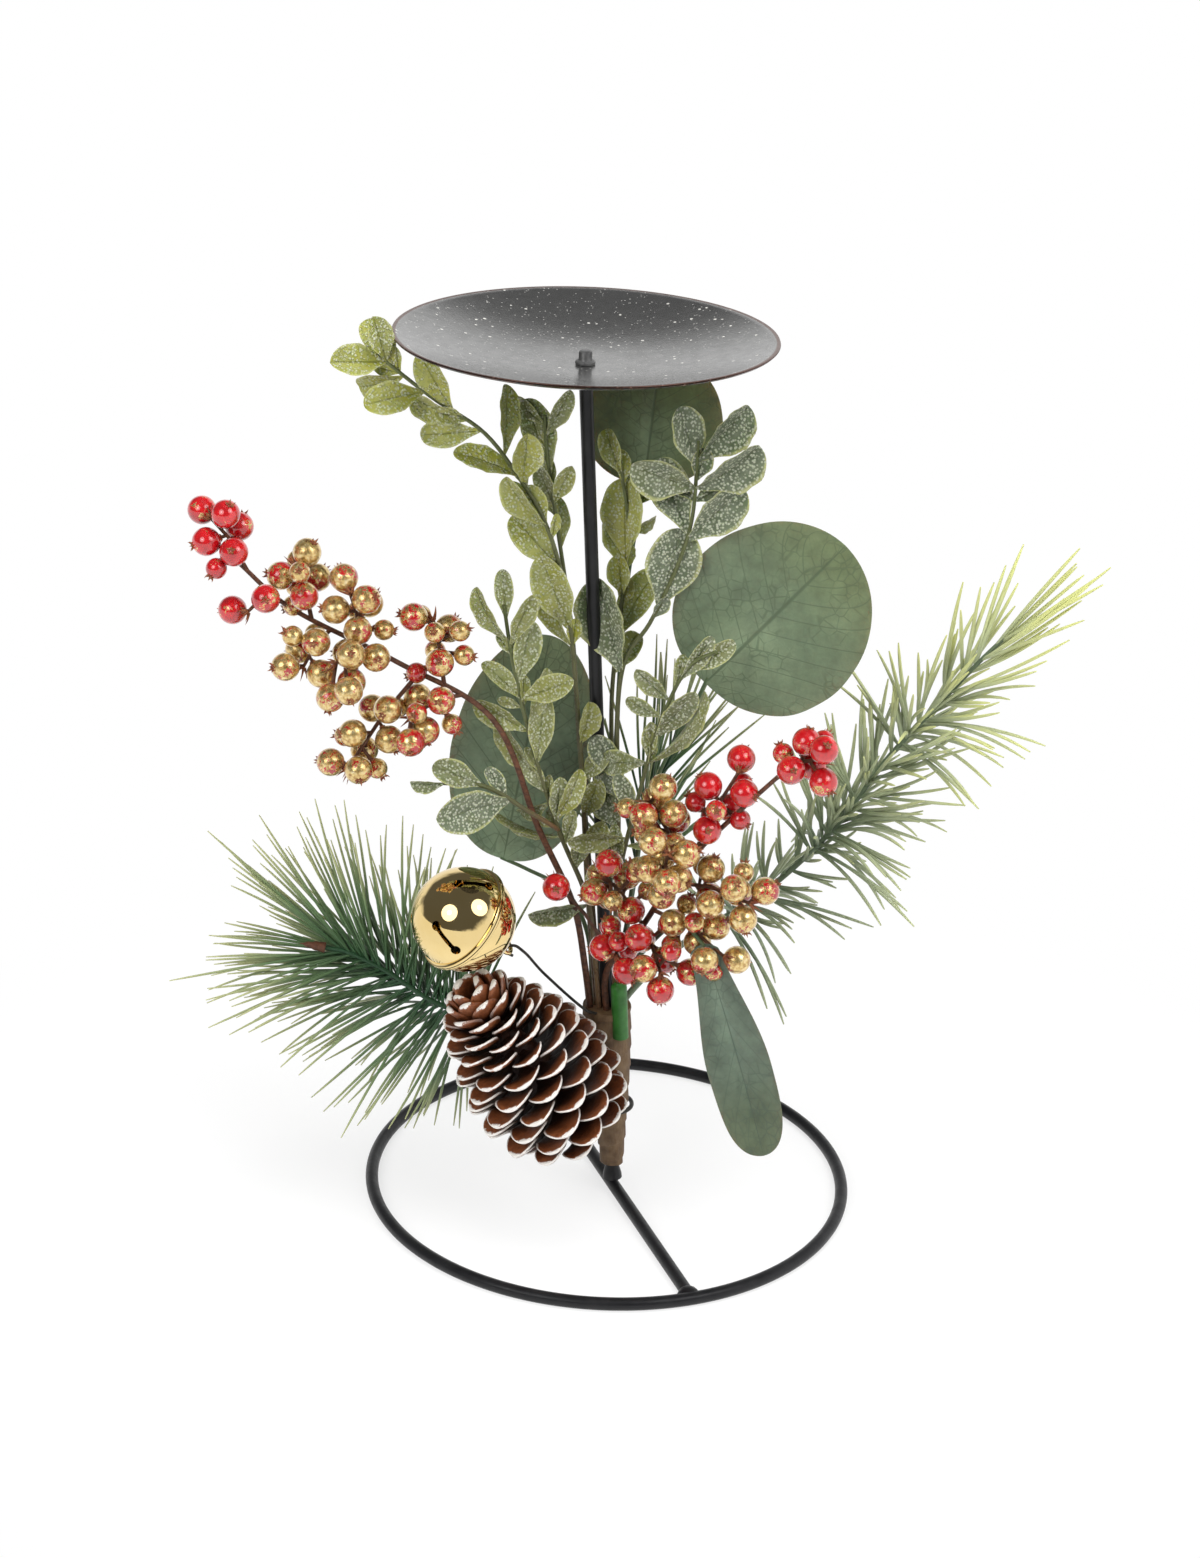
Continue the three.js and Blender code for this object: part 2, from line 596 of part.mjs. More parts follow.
function coneWireBody(grow = 0) {
  const centre = rodAxis(CONE_WIRE_HEIGHT);
  const reach = tapeRadius(CONE_WIRE_HEIGHT) + CLEARANCE + CONE_WIRE_RADIUS + CLEARANCE;
  const turn = new THREE.TorusGeometry(reach, CONE_WIRE_RADIUS + grow, 4, 12);
  const inside = CONE_BASE.clone().addScaledVector(CONE_AXIS, CONE_WIRE_DEPTH);
  const heading = inside.clone().sub(centre).setZ(0).normalize();
  const start = centre.clone().addScaledVector(heading, reach);
  const knee = CONE_BASE.clone().addScaledVector(CONE_AXIS, -1);
  const tail = sweep(curveThrough([start, knee, inside]), () => CONE_WIRE_RADIUS + grow, 4, 3);
  return toSolid(turn.translate(centre.x, centre.y, centre.z)).add(tail);
}

const coneWireCut = { room: coneWireBody(CLEARANCE) };
addPiece('pine_cone', 'cone', largest(cutBack(coneWhole, [...pieces, ...Object.values(stems), coneWireCut])),
  moved(coneRoom(), placeCone));
const wireRoom = pieces.filter(({ name }) => name !== 'pine_cone');
addPiece('cone_wire', 'wire', largest(cutBack(coneWireBody(), wireRoom)), coneWireBody(CLEARANCE));

// Jingle bell: two crimped half shells with slits in the front one, a wire loop and a loose pellet

const BELL_CENTRE = at([-40.3, -35.2, 44.3]);
const BELL_FACING = vec(-0.7, -0.34, 0.63).normalize();
const BELL_SIDE = vec(0.12, -0.92, -0.37).projectOnPlane(BELL_FACING).normalize();
const BELL_ACROSS = vec().crossVectors(BELL_FACING, BELL_SIDE);
const bellFrame = new THREE.Matrix4().makeBasis(BELL_SIDE, BELL_ACROSS, BELL_FACING).setPosition(BELL_CENTRE);
const BELL_STEPS = 3;

// One half shell, its pole towards local +Z and its crimped rim just above the seam.
function halfShell() {
  const arc = (radius, low) => Array.from({ length: BELL_STEPS + 1 }, (_, k) => {
    const start = Math.asin(low / radius);
    const angle = start + ((Math.PI / 2 - start) * k) / BELL_STEPS;
    return [k === BELL_STEPS ? 0 : radius * Math.cos(angle), radius * Math.sin(angle)];
  });
  const seam = CLEARANCE / 2;
  const inner = arc(BELL_RADIUS - BELL_WALL, seam);
  const outer = arc(BELL_RADIUS, BELL_RIM + seam).reverse();
  const rim = [[BELL_RADIUS + BELL_RIM, BELL_RIM + seam], [BELL_RADIUS + BELL_RIM, seam]];
  return toSolid(turned([...outer, ...rim, ...inner], BELL_SEGMENTS));
}

// A slit from near the pole to near the rim, with a round hole at each end.
function bellSlit(turn) {
  const [near, far] = [radians(40), radians(74)];
  const steps = 1;
  const reach = BELL_RADIUS + BELL_WALL;
  const depth = BELL_RADIUS - 2 * BELL_WALL;
  const heading = vec(1, 0, 0).applyAxisAngle(UP, turn);
  const across = vec(0, BELL_SLIT_WIDTH / 2, 0).applyAxisAngle(UP, turn);
  const ray = (angle) => UP.clone().multiplyScalar(Math.cos(angle)).addScaledVector(heading, Math.sin(angle));
  const rings = [];
  for (let k = 0; k <= steps; k += 1) {
    const out = ray(near + ((far - near) * k) / steps);
    const low = out.clone().multiplyScalar(depth);
    const high = out.clone().multiplyScalar(reach);
    const nearSide = [low.clone().sub(across), low.clone().add(across)];
    const farSide = [high.clone().add(across), high.clone().sub(across)];
    rings.push([...nearSide, ...farSide]);
  }
  const holes = [near, far].map((angle) => {
    const out = ray(angle);
    const ends = [out.clone().multiplyScalar(depth), out.clone().multiplyScalar(reach)];
    return sweep(new THREE.LineCurve3(...ends), () => BELL_HOLE_RADIUS, 6, 1);
  });
  return join([toSolid(loft(rings)), ...holes]);
}

const turnOver = new THREE.Matrix4().makeRotationX(Math.PI);
const slits = [0, 1, 2, 3].map((k) => bellSlit((k * Math.PI) / 2));
const frontShell = slits.reduce((shell, slit) => shell.subtract(slit), halfShell());
const rearShell = moved(halfShell(), turnOver);

// The loop stands on the rear pole; the wire hangs in it, and the bell swings about the wire.
const LOOP_CENTRE = -(BELL_RADIUS + LOOP_RADIUS * 0.6);
const EYE = LOOP_CENTRE - (LOOP_RADIUS - LOOP_WIRE_RADIUS - THIN_WIRE_RADIUS - CLEARANCE);

function loopBody() {
  const loop = new THREE.TorusGeometry(LOOP_RADIUS, LOOP_WIRE_RADIUS, 5, 12).rotateX(Math.PI / 2);
  const ball = toSolid(new THREE.SphereGeometry(BELL_RADIUS + CLEARANCE, 32, 20));
  return largest(toSolid(loop.translate(0, 0, LOOP_CENTRE)).subtract(ball));
}

const inBell = (x, y, z) => vec(x, y, z).applyMatrix4(bellFrame);
const HOOK_REACH = LOOP_WIRE_RADIUS + THIN_WIRE_RADIUS + CLEARANCE + 0.4;

function bellWireBody(grow = 0) {
  const route = [
    ...bound(OUTER_SLOT, -112, OUTER_DEPTH, MOUTH).map(at),
    at([-6.5, -9.8, 3]),
    at([-18, -15, 17]),
    inBell(0, HOOK_REACH, EYE - 5),
    inBell(0, HOOK_REACH, EYE - 1.2),
    inBell(0, 0, EYE),
    inBell(0, -HOOK_REACH, EYE - 1.2),
    inBell(0, -HOOK_REACH * 0.9, EYE - 4),
  ];
  return sweep(curveThrough(route), () => THIN_WIRE_RADIUS + grow, STEM_SIDES, 22);
}

// The room of the swinging bell: its ball at rest and at both ends of its swing.
function bellRoom() {
  const places = [-BELL_SWING, 0, BELL_SWING].map((angle) => {
    const middle = vec(0, 0, -EYE).applyAxisAngle(vec(0, 1, 0), angle).add(vec(0, 0, EYE));
    const ball = new THREE.SphereGeometry(BELL_RADIUS + BELL_RIM + 2 * CLEARANCE, 16, 10);
    return toSolid(ball.translate(middle.x, middle.y, middle.z));
  });
  const neck = new THREE.SphereGeometry(2 * LOOP_RADIUS, 10, 6).translate(0, 0, LOOP_CENTRE);
  return moved(join([...places, toSolid(neck)]), bellFrame);
}

const PELLET_DROP = (BELL_RADIUS - BELL_WALL - PELLET_RADIUS - CLEARANCE) * 0.97;
const pelletRest = BELL_CENTRE.clone().addScaledVector(UP, -PELLET_DROP);
const pelletBall = new THREE.IcosahedronGeometry(PELLET_RADIUS, 1);
const pelletBody = toSolid(pelletBall.translate(...pelletRest.toArray()));
const bellSpace = bellRoom();
const bellWire = largest(cutBack(bellWireBody(), [...pieces, ...Object.values(stems)]));
addPiece('bell_wire', 'wire', bellWire, bellWireBody(CLEARANCE));
addPiece('bell_front_shell', 'gold', moved(frontShell, bellFrame), bellSpace);
addPiece('bell_rear_shell', 'gold', moved(rearShell, bellFrame), bellSpace);
addPiece('bell_loop', 'gold', moved(loopBody(), bellFrame), bellSpace);
addPiece('bell_pellet', 'wire', pelletBody, bellSpace);

// Berries: side twigs on the two brown stems. A twig leaves its stem at a share of the stem's length and runs
// to its tip; its berries sit round it at the first free golden-angle place.

const BERRY_TWIGS = {
  left: [
    { from: 0.985, tip: [-108, -21, 161], berries: 5 },
    { from: 0.93, tip: [-99, -24, 134], berries: 2 },
    { from: 0.87, tip: [-85, -15, 146], berries: 4 },
    { from: 0.79, tip: [-69, -24, 141], berries: 5 },
    { from: 0.66, tip: [-46, -18, 132], berries: 3 },
    { from: 0.84, tip: [-84, -25, 118], berries: 4 },
    { from: 0.75, tip: [-74, -31, 122], berries: 6 },
    { from: 0.7, tip: [-73, -26, 87], berries: 7 },
    { from: 0.63, tip: [-54, -24, 103], berries: 4 },
  ],
  right: [
    { from: 0.985, tip: [65, -41, 103], berries: 5 },
    { from: 0.66, tip: [15, -33, 84], berries: 7 },
    { from: 0.7, tip: [42, -34, 95], berries: 5 },
    { from: 0.44, tip: [0, -25, 57], berries: 4 },
    { from: 0.54, tip: [21, -47, 74], berries: 7 },
    { from: 0.6, tip: [45, -43, 57], berries: 7 },
    { from: 0.5, tip: [37, -40, 38], berries: 5 },
    { from: 0.4, tip: [4, -30, 32], berries: 3 },
    { from: 0.43, tip: [18, -39, 31], berries: 5 },
    { from: 0.28, tip: [-14, -18, 50], berries: 1 },
  ],
};
const FIRST_BERRY_SHARE = 0.3;
const LAST_BERRY_SHARE = 0.96;
const TWIG_BOW = 2;
const berryPlaces = [];

function freeBerryPlace(point, along, count) {
  const first = vec(0, -1, 0.3).projectOnPlane(along).normalize();
  let reach = BERRY_RADIUS + TWIG_RADIUS + PEDICEL_LENGTH;
  for (let attempt = 0; ; attempt += 1) {
    if (attempt > 0 && attempt % 16 === 0) reach += BERRY_RADIUS / 2;
    const out = first.clone().applyAxisAngle(along, (count + attempt) * GOLDEN_ANGLE);
    out.addScaledVector(along, 0.5).normalize();
    const place = point.clone().addScaledVector(out, reach);
    if (berryPlaces.every((other) => other.distanceTo(place) > 2 * BERRY_RADIUS + CLEARANCE)) return place;
  }
}

// A berry and its stalk in one: from a point in the twig, swelling to the ball and closing at its far side.
function berryBody(point, place, grow) {
  const along = place.clone().sub(point).normalize();
  const across = vec(0, 0, 1).cross(along).normalize();
  const radius = BERRY_RADIUS + grow;
  const rings = [[point.clone().addScaledVector(along, TWIG_RADIUS * 0.3)]];
  for (const latitude of [-40, 34]) {
    const middle = place.clone().addScaledVector(along, radius * Math.sin(radians(latitude)));
    const reach = radius * Math.cos(radians(latitude));
    const turns = Array.from({ length: BERRY_SIDES }, (_, i) => (i * 2 * Math.PI) / BERRY_SIDES);
    const spoke = (turn) => across.clone().applyAxisAngle(along, turn).multiplyScalar(reach);
    rings.push(turns.map((turn) => middle.clone().add(spoke(turn))));
  }
  rings.push([place.clone().addScaledVector(along, radius)]);
  return toSolid(loft(rings));
}

function berryTwig(stem, { from, tip, berries }) {
  const root = stem.curve.getPointAt(from);
  const end = at(tip);
  const bow = root.clone().lerp(end, 0.5).addScaledVector(UP, TWIG_BOW);
  const curve = new THREE.CurvePath();
  curve.add(new THREE.LineCurve3(root, bow));
  curve.add(new THREE.LineCurve3(bow, end));
  const taper = (share, grow) => TWIG_RADIUS * (1 - 0.3 * share) + grow;
  const parts = { body: [], room: [] };
  const addBoth = (make) => {
    parts.body.push(make(0));
    parts.room.push(make(CLEARANCE));
  };
  addBoth((grow) => sweep(curve, (share) => taper(share, grow), 4, 2));
  for (let k = 0; k < berries; k += 1) {
    const passed = berries === 1 ? 1 : k / (berries - 1);
    const station = THREE.MathUtils.lerp(FIRST_BERRY_SHARE, LAST_BERRY_SHARE, passed);
    const point = curve.getPointAt(station);
    const place = freeBerryPlace(point, curve.getTangentAt(station), k);
    berryPlaces.push(place);
    addBoth((grow) => berryBody(point, place, grow));
  }
  return { body: join(parts.body), room: join(parts.room) };
}

for (const [hand, twigs] of Object.entries(BERRY_TWIGS)) {
  const stem = stems[`berry_stem_${hand}`];
  addPiece(`berry_stem_${hand}`, 'bark', stem.body, stem.room);
  twigs.forEach((twig, i) => {
    const made = berryTwig(stem, twig);
    const body = largest(cutBack(made.body, [...pieces, ...Object.values(stems)]));
    addPiece(`berry_twig_${hand}_${i + 1}`, 'berry', body, made.room);
  });
}

// Foliage: what grows on a stem is cut back from all other pieces and stems, and joined to its own stem

function addFoliage(name, material, makers) {
  const stem = stems[name];
  const foliage = join(makers.map((make) => make(0)));
  const room = join([stem.room, ...makers.map((make) => make(CLEARANCE))]);
  const cut = cutBack(foliage, [...pieces, ...allStemsBut(name)]);
  addPiece(name, material, largest(cut.add(stem.body)), room);
}

// Large leaves on their own stalks
const STEM_END_SHARE = 0.985;
const ovalOutline = (share) => Math.sqrt(Math.max(0, 1 - (2 * share ** 0.92 - 1) ** 2));
const strapOutline = (share) => Math.sin(Math.PI * share ** 0.9) ** 0.45;

const LARGE_LEAVES = {
  round_leaf_right: {
    tip: [70.7, -9.3, 152], facing: vec(-0.1, -1, 0.1),
    length: 59, width: 57, bend: 0.25, cup: 0.12, outline: ovalOutline,
  },
  round_leaf_back: {
    tip: [22, 32, 204], facing: vec(0.1, -1, 0.25),
    length: 40, width: 42, bend: 0.15, cup: 0.1, outline: ovalOutline,
  },
  round_leaf_left: {
    tip: [-16, 18.7, 112], facing: vec(-0.2, -1, 0.2),
    length: 72, width: 45, bend: 0.2, cup: 0.15, outline: ovalOutline,
  },
  strap_leaf: {
    tip: [47.5, -42.3, -24], facing: vec(-0.2, -1, 0.1),
    length: 68, width: 23, bend: -0.25, cup: 0.12, outline: strapOutline,
  },
};

for (const [name, leaf] of Object.entries(LARGE_LEAVES)) {
  const base = stems[name].curve.getPointAt(STEM_END_SHARE);
  const spec = {
    ...leaf,
    base,
    along: at(leaf.tip).sub(base),
    thickness: ROUND_LEAF_THICKNESS,
    section: broadSection,
    stations: [0.08, 0.26, 0.5, 0.74, 0.92],
  };
  addFoliage(name, 'round_leaf', [(grow) => blade(spec, grow)]);
}

// Sprays of small leaves. A leaf is [station, lean, length, roll]: the share of its stem where it grows, its
// angle from the stem to the viewer's right in degrees, its length, and its turn about its own midrib.
const smallOutline = (share) => Math.sin(Math.PI * share ** 1.25) ** 0.6;
const FRONT = vec(0, -1, 0.35).normalize();
const FORWARD_TILT = radians(30);
const BACKWARD_TILT = radians(-20);

const SPRAYS = {
  leaf_spray_top: [
    [0.985, 40, 13, 70], [0.97, 22, 16, 20], [0.985, -45, 16, 30], [0.96, -60, 16, 45],
    [0.93, -52, 17, 15], [0.88, -25, 16, 50], [0.89, 28, 18, 10], [0.85, -46, 17, 40],
    [0.78, -25, 19, 10], [0.81, 42, 19, 65], [0.77, 42, 16, 65], [0.71, 0, 12, 55],
    [0.71, -38, 18, 65], [0.65, -28, 20, 10], [0.57, -18, 24, 45], [0.55, -32, 21, 60],
  ],
  leaf_spray_centre: [
    [0.91, -5, 22, 15], [0.985, -50, 12, 55], [0.87, 38, 13, 35], [0.86, -12, 13, 30],
    [0.97, 38, 15, 70], [0.8, 18, 15, 65],
  ],
  leaf_spray_back: [
    [0.97, -16, 13, 45], [0.81, -15, 18, 40], [0.83, -12, 23, 45], [0.91, 50, 13, 15],
    [0.7, 17, 22, 20], [0.88, 85, 10, 60], [0.77, -14, 12, 35], [0.64, 22, 14, 30],
  ],
  leaf_spray_right: [
    [0.96, -20, 18, 0], [0.97, 42, 20, 40], [0.93, -80, 20, 60], [0.86, -37, 22, 0],
    [0.93, 68, 22, 70], [0.85, 30, 21, 35], [0.74, -8, 23, 0], [0.62, -28, 27, 50],
  ],
  leaf_spray_left: [
    [0.93, -47, 18, 65], [0.97, 4, 14, 0], [0.92, 34, 18, 50], [0.84, 25, 18, 60],
    [0.81, -28, 15, 25], [0.74, -47, 17, 20], [0.81, 82, 18, 20], [0.75, 36, 17, 50],
    [0.67, 23, 20, 55], [0.63, -31, 22, 70], [0.6, -16, 13, 40], [0.58, -104, 12, 45],
    [0.53, 27, 15, 50], [0.5, -70, 22, 70], [0.54, 58, 17, 70],
  ],
  leaf_spray_low: [
    [0.9, 13, 15, 35], [0.92, 28, 16, 50], [0.85, -75, 14, 40], [0.81, -88, 12, 40],
    [0.76, 25, 20, 40], [0.7, 46, 26, 75], [0.71, -12, 11, 30], [0.7, -107, 19, 25],
    [0.51, -104, 18, 55],
  ],
};
const SIDE_LEAVES = [[0.74, 10, 15, 30], [0.55, 25, 10, 40], [0.52, -50, 24, 55], [0.985, -15, 10, 40]];

function sprayLeaf(curve, [station, lean, length, roll], widthShare, i) {
  const hand = lean < 0 ? -1 : 1;
  const spread = radians(Math.abs(lean));
  const depth = i % 2 === 0 ? FORWARD_TILT : BACKWARD_TILT;
  const tangent = curve.getTangentAt(station);
  const across = vec().crossVectors(tangent, FRONT).normalize();
  const out = across.multiplyScalar(hand * Math.cos(depth)).addScaledVector(FRONT, Math.sin(depth));
  const along = tangent.clone().multiplyScalar(Math.cos(spread)).addScaledVector(out, Math.sin(spread));
  const facing = FRONT.clone().addScaledVector(tangent, 0.4).addScaledVector(out, -0.35);
  return {
    base: curve.getPointAt(station),
    along,
    facing: facing.applyAxisAngle(along, hand * radians(roll)),
    length,
    width: length * widthShare,
    thickness: LEAF_THICKNESS,
    bend: 0.3,
    section: keeledSection,
    outline: smallOutline,
    stations: [0.35, 0.75],
  };
}

// A side stem low on the left spray, which carries leaves of its own
const SIDE_STEM = [[-12.3, -11.3, 64], [-20, -20, 73], [-33, -25, 83], [-45, -26, 84]];
const sideCurve = curveThrough(SIDE_STEM.map(at));
const sideStem = (grow) => sweep(sideCurve, () => STEM_RADIUS * 0.8 + grow, STEM_SIDES, 6);

function leafMakers(curve, leaves, widthShare) {
  const specs = leaves.map((leaf, i) => sprayLeaf(curve, leaf, widthShare, i));
  return specs.map((spec) => (grow) => blade(spec, grow));
}

for (const [name, leaves] of Object.entries(SPRAYS)) {
  const widthShare = name === 'leaf_spray_right' ? BROAD_LEAF_WIDTH_SHARE : SMALL_LEAF_WIDTH_SHARE;
  const makers = leafMakers(stems[name].curve, leaves, widthShare);
  if (name === 'leaf_spray_left') makers.push(sideStem, ...leafMakers(sideCurve, SIDE_LEAVES, widthShare));
  addFoliage(name, 'frosted_leaf', makers);
}

// The brown bud at the tip of the left pine sprig
function budBody(grow = 0) {
  const { curve } = stems.pine_sprig_left;
  const heading = curve.getTangentAt(1);
  const foot = curve.getPointAt(1).addScaledVector(heading, CLEARANCE - grow);
  const tip = foot.clone().addScaledVector(heading, BUD_LENGTH + 2 * grow);
  const swell = (share) => BUD_RADIUS * (1 - share ** 2) + grow;
  return sweep(new THREE.LineCurve3(foot, tip), (share) => (share < 1 ? swell(share) : 0), WIRE_SIDES, 3);
}

addPiece('pine_bud_left', 'bark', budBody(), budBody(CLEARANCE));

// Pine: curved needles round a stem in a golden-angle spiral, leaning towards its tip and gathered in tufts
const SPRIGS = {
  pine_sprig_left: {
    from: 0.5, needles: 36, tufts: 2, length: LEFT_NEEDLE_LENGTH, lean: [68, 34], droop: 4, steps: 1,
  },
  pine_sprig_right: {
    from: 0.26, needles: 32, tufts: 4, length: RIGHT_NEEDLE_LENGTH, lean: [62, 18], droop: 3, steps: 2,
  },
  pine_sprig_back: {
    from: 0.55, needles: 12, tufts: 1, length: BACK_NEEDLE_LENGTH, lean: [34, 14], droop: 0, steps: 1,
  },
};
const TUFT_PULL = 0.85;

function needle(curve, spec, i) {
  const even = (i + 0.5) / spec.needles;
  const beat = 2 * Math.PI * spec.tufts;
  const share = even - (TUFT_PULL * Math.sin(beat * even)) / beat;
  const station = spec.from + (1 - spec.from) * share;
  const tangent = curve.getTangentAt(station);
  const [wide, narrow] = spec.lean;
  const lean = radians(wide + (narrow - wide) * share);
  const out = vec(0, 0, 1).projectOnPlane(tangent).normalize().applyAxisAngle(tangent, i * GOLDEN_ANGLE);
  const along = tangent.clone().multiplyScalar(Math.cos(lean)).addScaledVector(out, Math.sin(lean));
  const length = spec.length * (1 - 0.25 * share);
  const root = curve.getPointAt(station);
  const tip = root.clone().addScaledVector(along, length).addScaledVector(UP, -spec.droop);
  const bow = root.clone().addScaledVector(along, length / 2);
  const path = new THREE.QuadraticBezierCurve3(root, bow, tip);
  const swell = (t) => NEEDLE_RADIUS * (0.55 + 0.45 * t);
  return (grow) => sweep(path, (t) => (t < 1 || grow > 0 ? swell(t) + grow : 0), 3, spec.steps);
}

for (const [name, spec] of Object.entries(SPRIGS)) {
  const makers = Array.from({ length: spec.needles }, (_, i) => needle(stems[name].curve, spec, i));
  addFoliage(name, 'needle', makers);
}

// The assembly
const candlestick = new THREE.Group();
for (const { name, material, body } of pieces) {
  const mesh = new THREE.Mesh(toGeometry(body), new THREE.MeshStandardMaterial(MATERIALS[material]));
  mesh.name = name;
  candlestick.add(mesh);
}

export default candlestick;
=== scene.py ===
"""Christmas candlestick: the looks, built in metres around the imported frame.

Every piece repeats the routes and sizes of its solid, with a finer surface, and stands for that solid.
Routes are written in millimetres from the leaning rod's axis at the top of the floral tape.
"""
import math
import random
from bisect import bisect_right
from contextlib import contextmanager

import bmesh
import bpy
from mathutils import Matrix, Quaternion, Vector


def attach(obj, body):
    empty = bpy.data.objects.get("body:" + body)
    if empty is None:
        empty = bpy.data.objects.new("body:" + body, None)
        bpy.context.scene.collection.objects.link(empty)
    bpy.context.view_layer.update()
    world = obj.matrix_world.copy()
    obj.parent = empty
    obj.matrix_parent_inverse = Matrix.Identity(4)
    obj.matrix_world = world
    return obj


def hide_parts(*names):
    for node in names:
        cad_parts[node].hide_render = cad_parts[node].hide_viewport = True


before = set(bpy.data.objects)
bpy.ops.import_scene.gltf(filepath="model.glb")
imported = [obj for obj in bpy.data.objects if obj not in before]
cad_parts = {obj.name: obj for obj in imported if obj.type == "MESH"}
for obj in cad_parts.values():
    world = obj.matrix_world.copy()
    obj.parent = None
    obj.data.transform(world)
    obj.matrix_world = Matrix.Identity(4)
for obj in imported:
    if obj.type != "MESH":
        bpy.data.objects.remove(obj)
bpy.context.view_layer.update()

MM = 0.001
GOLDEN_ANGLE = math.pi * (3 - math.sqrt(5))
UP = Vector((0, 0, 1))
POINT_RADIUS = 1e-5
SHARP_ANGLE = math.radians(38)
SCENE = bpy.context.scene

# Sizes of the stand
CLEARANCE = 0.3 * MM
WIRE_RADIUS = 2 * MM
RING_RADIUS = 75.5 * MM
BAR_ANGLE = math.radians(-69)
WELD_RADIUS = 3.4 * MM
ROD_STATION = 5 * MM
ROD_LEAN = 18 * MM
DISH_RADIUS = 55 * MM
DISH_DEPTH = 9 * MM
DISH_WALL = 1 * MM
DISH_SEAT_RADIUS = 9 * MM
DISH_RIM_HEIGHT = 280 * MM
DISH_CURVE = 1.7

# Sizes of the binding
TAPE_TOP = 66 * MM
TAPE_BOTTOM = 10 * MM
TAPE_WALL = 0.7 * MM
TAPE_PITCH = 6.5 * MM
STEM_RADIUS = 0.9 * MM
BRANCH_RADIUS = 1.1 * MM
THIN_WIRE_RADIUS = 0.45 * MM
PICK_RADIUS = 2.5 * MM
PICK_TURN = -56

# Sizes of the cone, the bell and the berries
CONE_LENGTH = 68 * MM
CONE_RADIUS = 24 * MM
CONE_CORE_RADIUS = 8 * MM
CONE_SCALES = 112
SCALE_WIDTH = 13 * MM
SCALE_THICKNESS = 1.5 * MM
CONE_WIRE_HEIGHT = 31 * MM
CONE_WIRE_RADIUS = 0.7 * MM
BELL_RADIUS = 15.6 * MM
BELL_WALL = 1 * MM
BELL_RIM = 0.9 * MM
BELL_SLIT_WIDTH = 1.4 * MM
BELL_HOLE_RADIUS = 1.5 * MM
LOOP_RADIUS = 2.7 * MM
LOOP_WIRE_RADIUS = 0.7 * MM
PELLET_RADIUS = 3.2 * MM
BERRY_RADIUS = 4.2 * MM
TWIG_RADIUS = 0.7 * MM
PEDICEL_LENGTH = 1.2 * MM

# Sizes of the leaves and needles
SMALL_LEAF_WIDTH_SHARE = 0.56
BROAD_LEAF_WIDTH_SHARE = 0.68
LEAF_THICKNESS = 0.5 * MM
BUD_RADIUS = 1.6 * MM
BUD_LENGTH = 8 * MM

# The camera, solved from the dish rim, the ring and the rod in the photograph
CAMERA_PLACE = Vector((0, -845.91, 500.36)) * MM
CAMERA_YAW = -0.008663
CAMERA_PITCH = 0.402373
CAMERA_ROLL = 0.040356
PHOTO_HEIGHT = 1558
FOCAL_PIXELS = 3020.26
SENSOR = 36

# Marks and ranges that the meshes and the materials share
STEM_TINT = 2.0
HIGH_TINT = 0.75
NOISE_RANGE = (0.3, 0.7)

# The studio, in metres and watts: lamps that face the object, a white room with a dark part, a white floor
LAMP_TARGET = Vector((0, 0, 0.13))
TOP_LAMP = ((0.1, -0.1, 1.5), 1.0, 16)
SIDE_LAMPS = {"left": (-0.57, -0.79, 0.73), "right": (0.59, -0.52, 0.87)}
SIDE_LAMP_SIZE = 0.7
SIDE_LAMP_POWER = 2.9
FILL_POWER = 6.9
CORE_NEARER = 0.97
CORE_SIZE = 0.17
CORE_POWER = 0.35
WHITE = (1, 1, 1)
DARK_SIDE = Vector((-0.3, -0.3, 0.9)).normalized()
DARK_EDGE = (0.35, 0.61)
ROOM_LIGHT = (0.8, 0.15)
ROOM_MIRRORED = (1.0, 0.11)
FLOOR_RADIUS = 6.0
FLOOR_TOP = -0.0001
FLOOR_BOTTOM = -0.002
SHADOW_EDGE = (0.08, 0.26)
SHADOW_WHITENESS = 0.72


# Lines and places

def clamp(value):
    return min(max(value, 0.0), 1.0)


def smooth_step(low, high, value):
    t = clamp((value - low) / (high - low))
    return t * t * (3 - 2 * t)


def turns(count):
    """The angles that divide a whole turn evenly."""
    return [2 * math.pi * i / count for i in range(count)]


def on_circle(radius, angle, height):
    return Vector((radius * math.cos(angle), radius * math.sin(angle), height))


def circle(middle, normal, side, radius, sides):
    return [middle + (normal * math.cos(a) + side * math.sin(a)) * radius for a in turns(sides)]


def turn_about(axis, angle, vector):
    return Quaternion(axis, angle) @ vector


def flatten(vector, axis):
    """The part of a vector square to an axis, as a unit vector."""
    return (vector - axis * vector.dot(axis)).normalized()


class Line:
    """A line of points, with places and headings by the share of its length."""

    def __init__(self, points):
        self.points = points
        self.passed = [0.0]
        for p, q in zip(points, points[1:]):
            self.passed.append(self.passed[-1] + (q - p).length)

    def place(self, share):
        goal = clamp(share) * self.passed[-1]
        k = min(bisect_right(self.passed, goal), len(self.points) - 1)
        low, high = self.passed[k - 1], self.passed[k]
        return self.points[k - 1].lerp(self.points[k], (goal - low) / (high - low))

    def heading(self, share, reach=0.004):
        return (self.place(share + reach) - self.place(share - reach)).normalized()


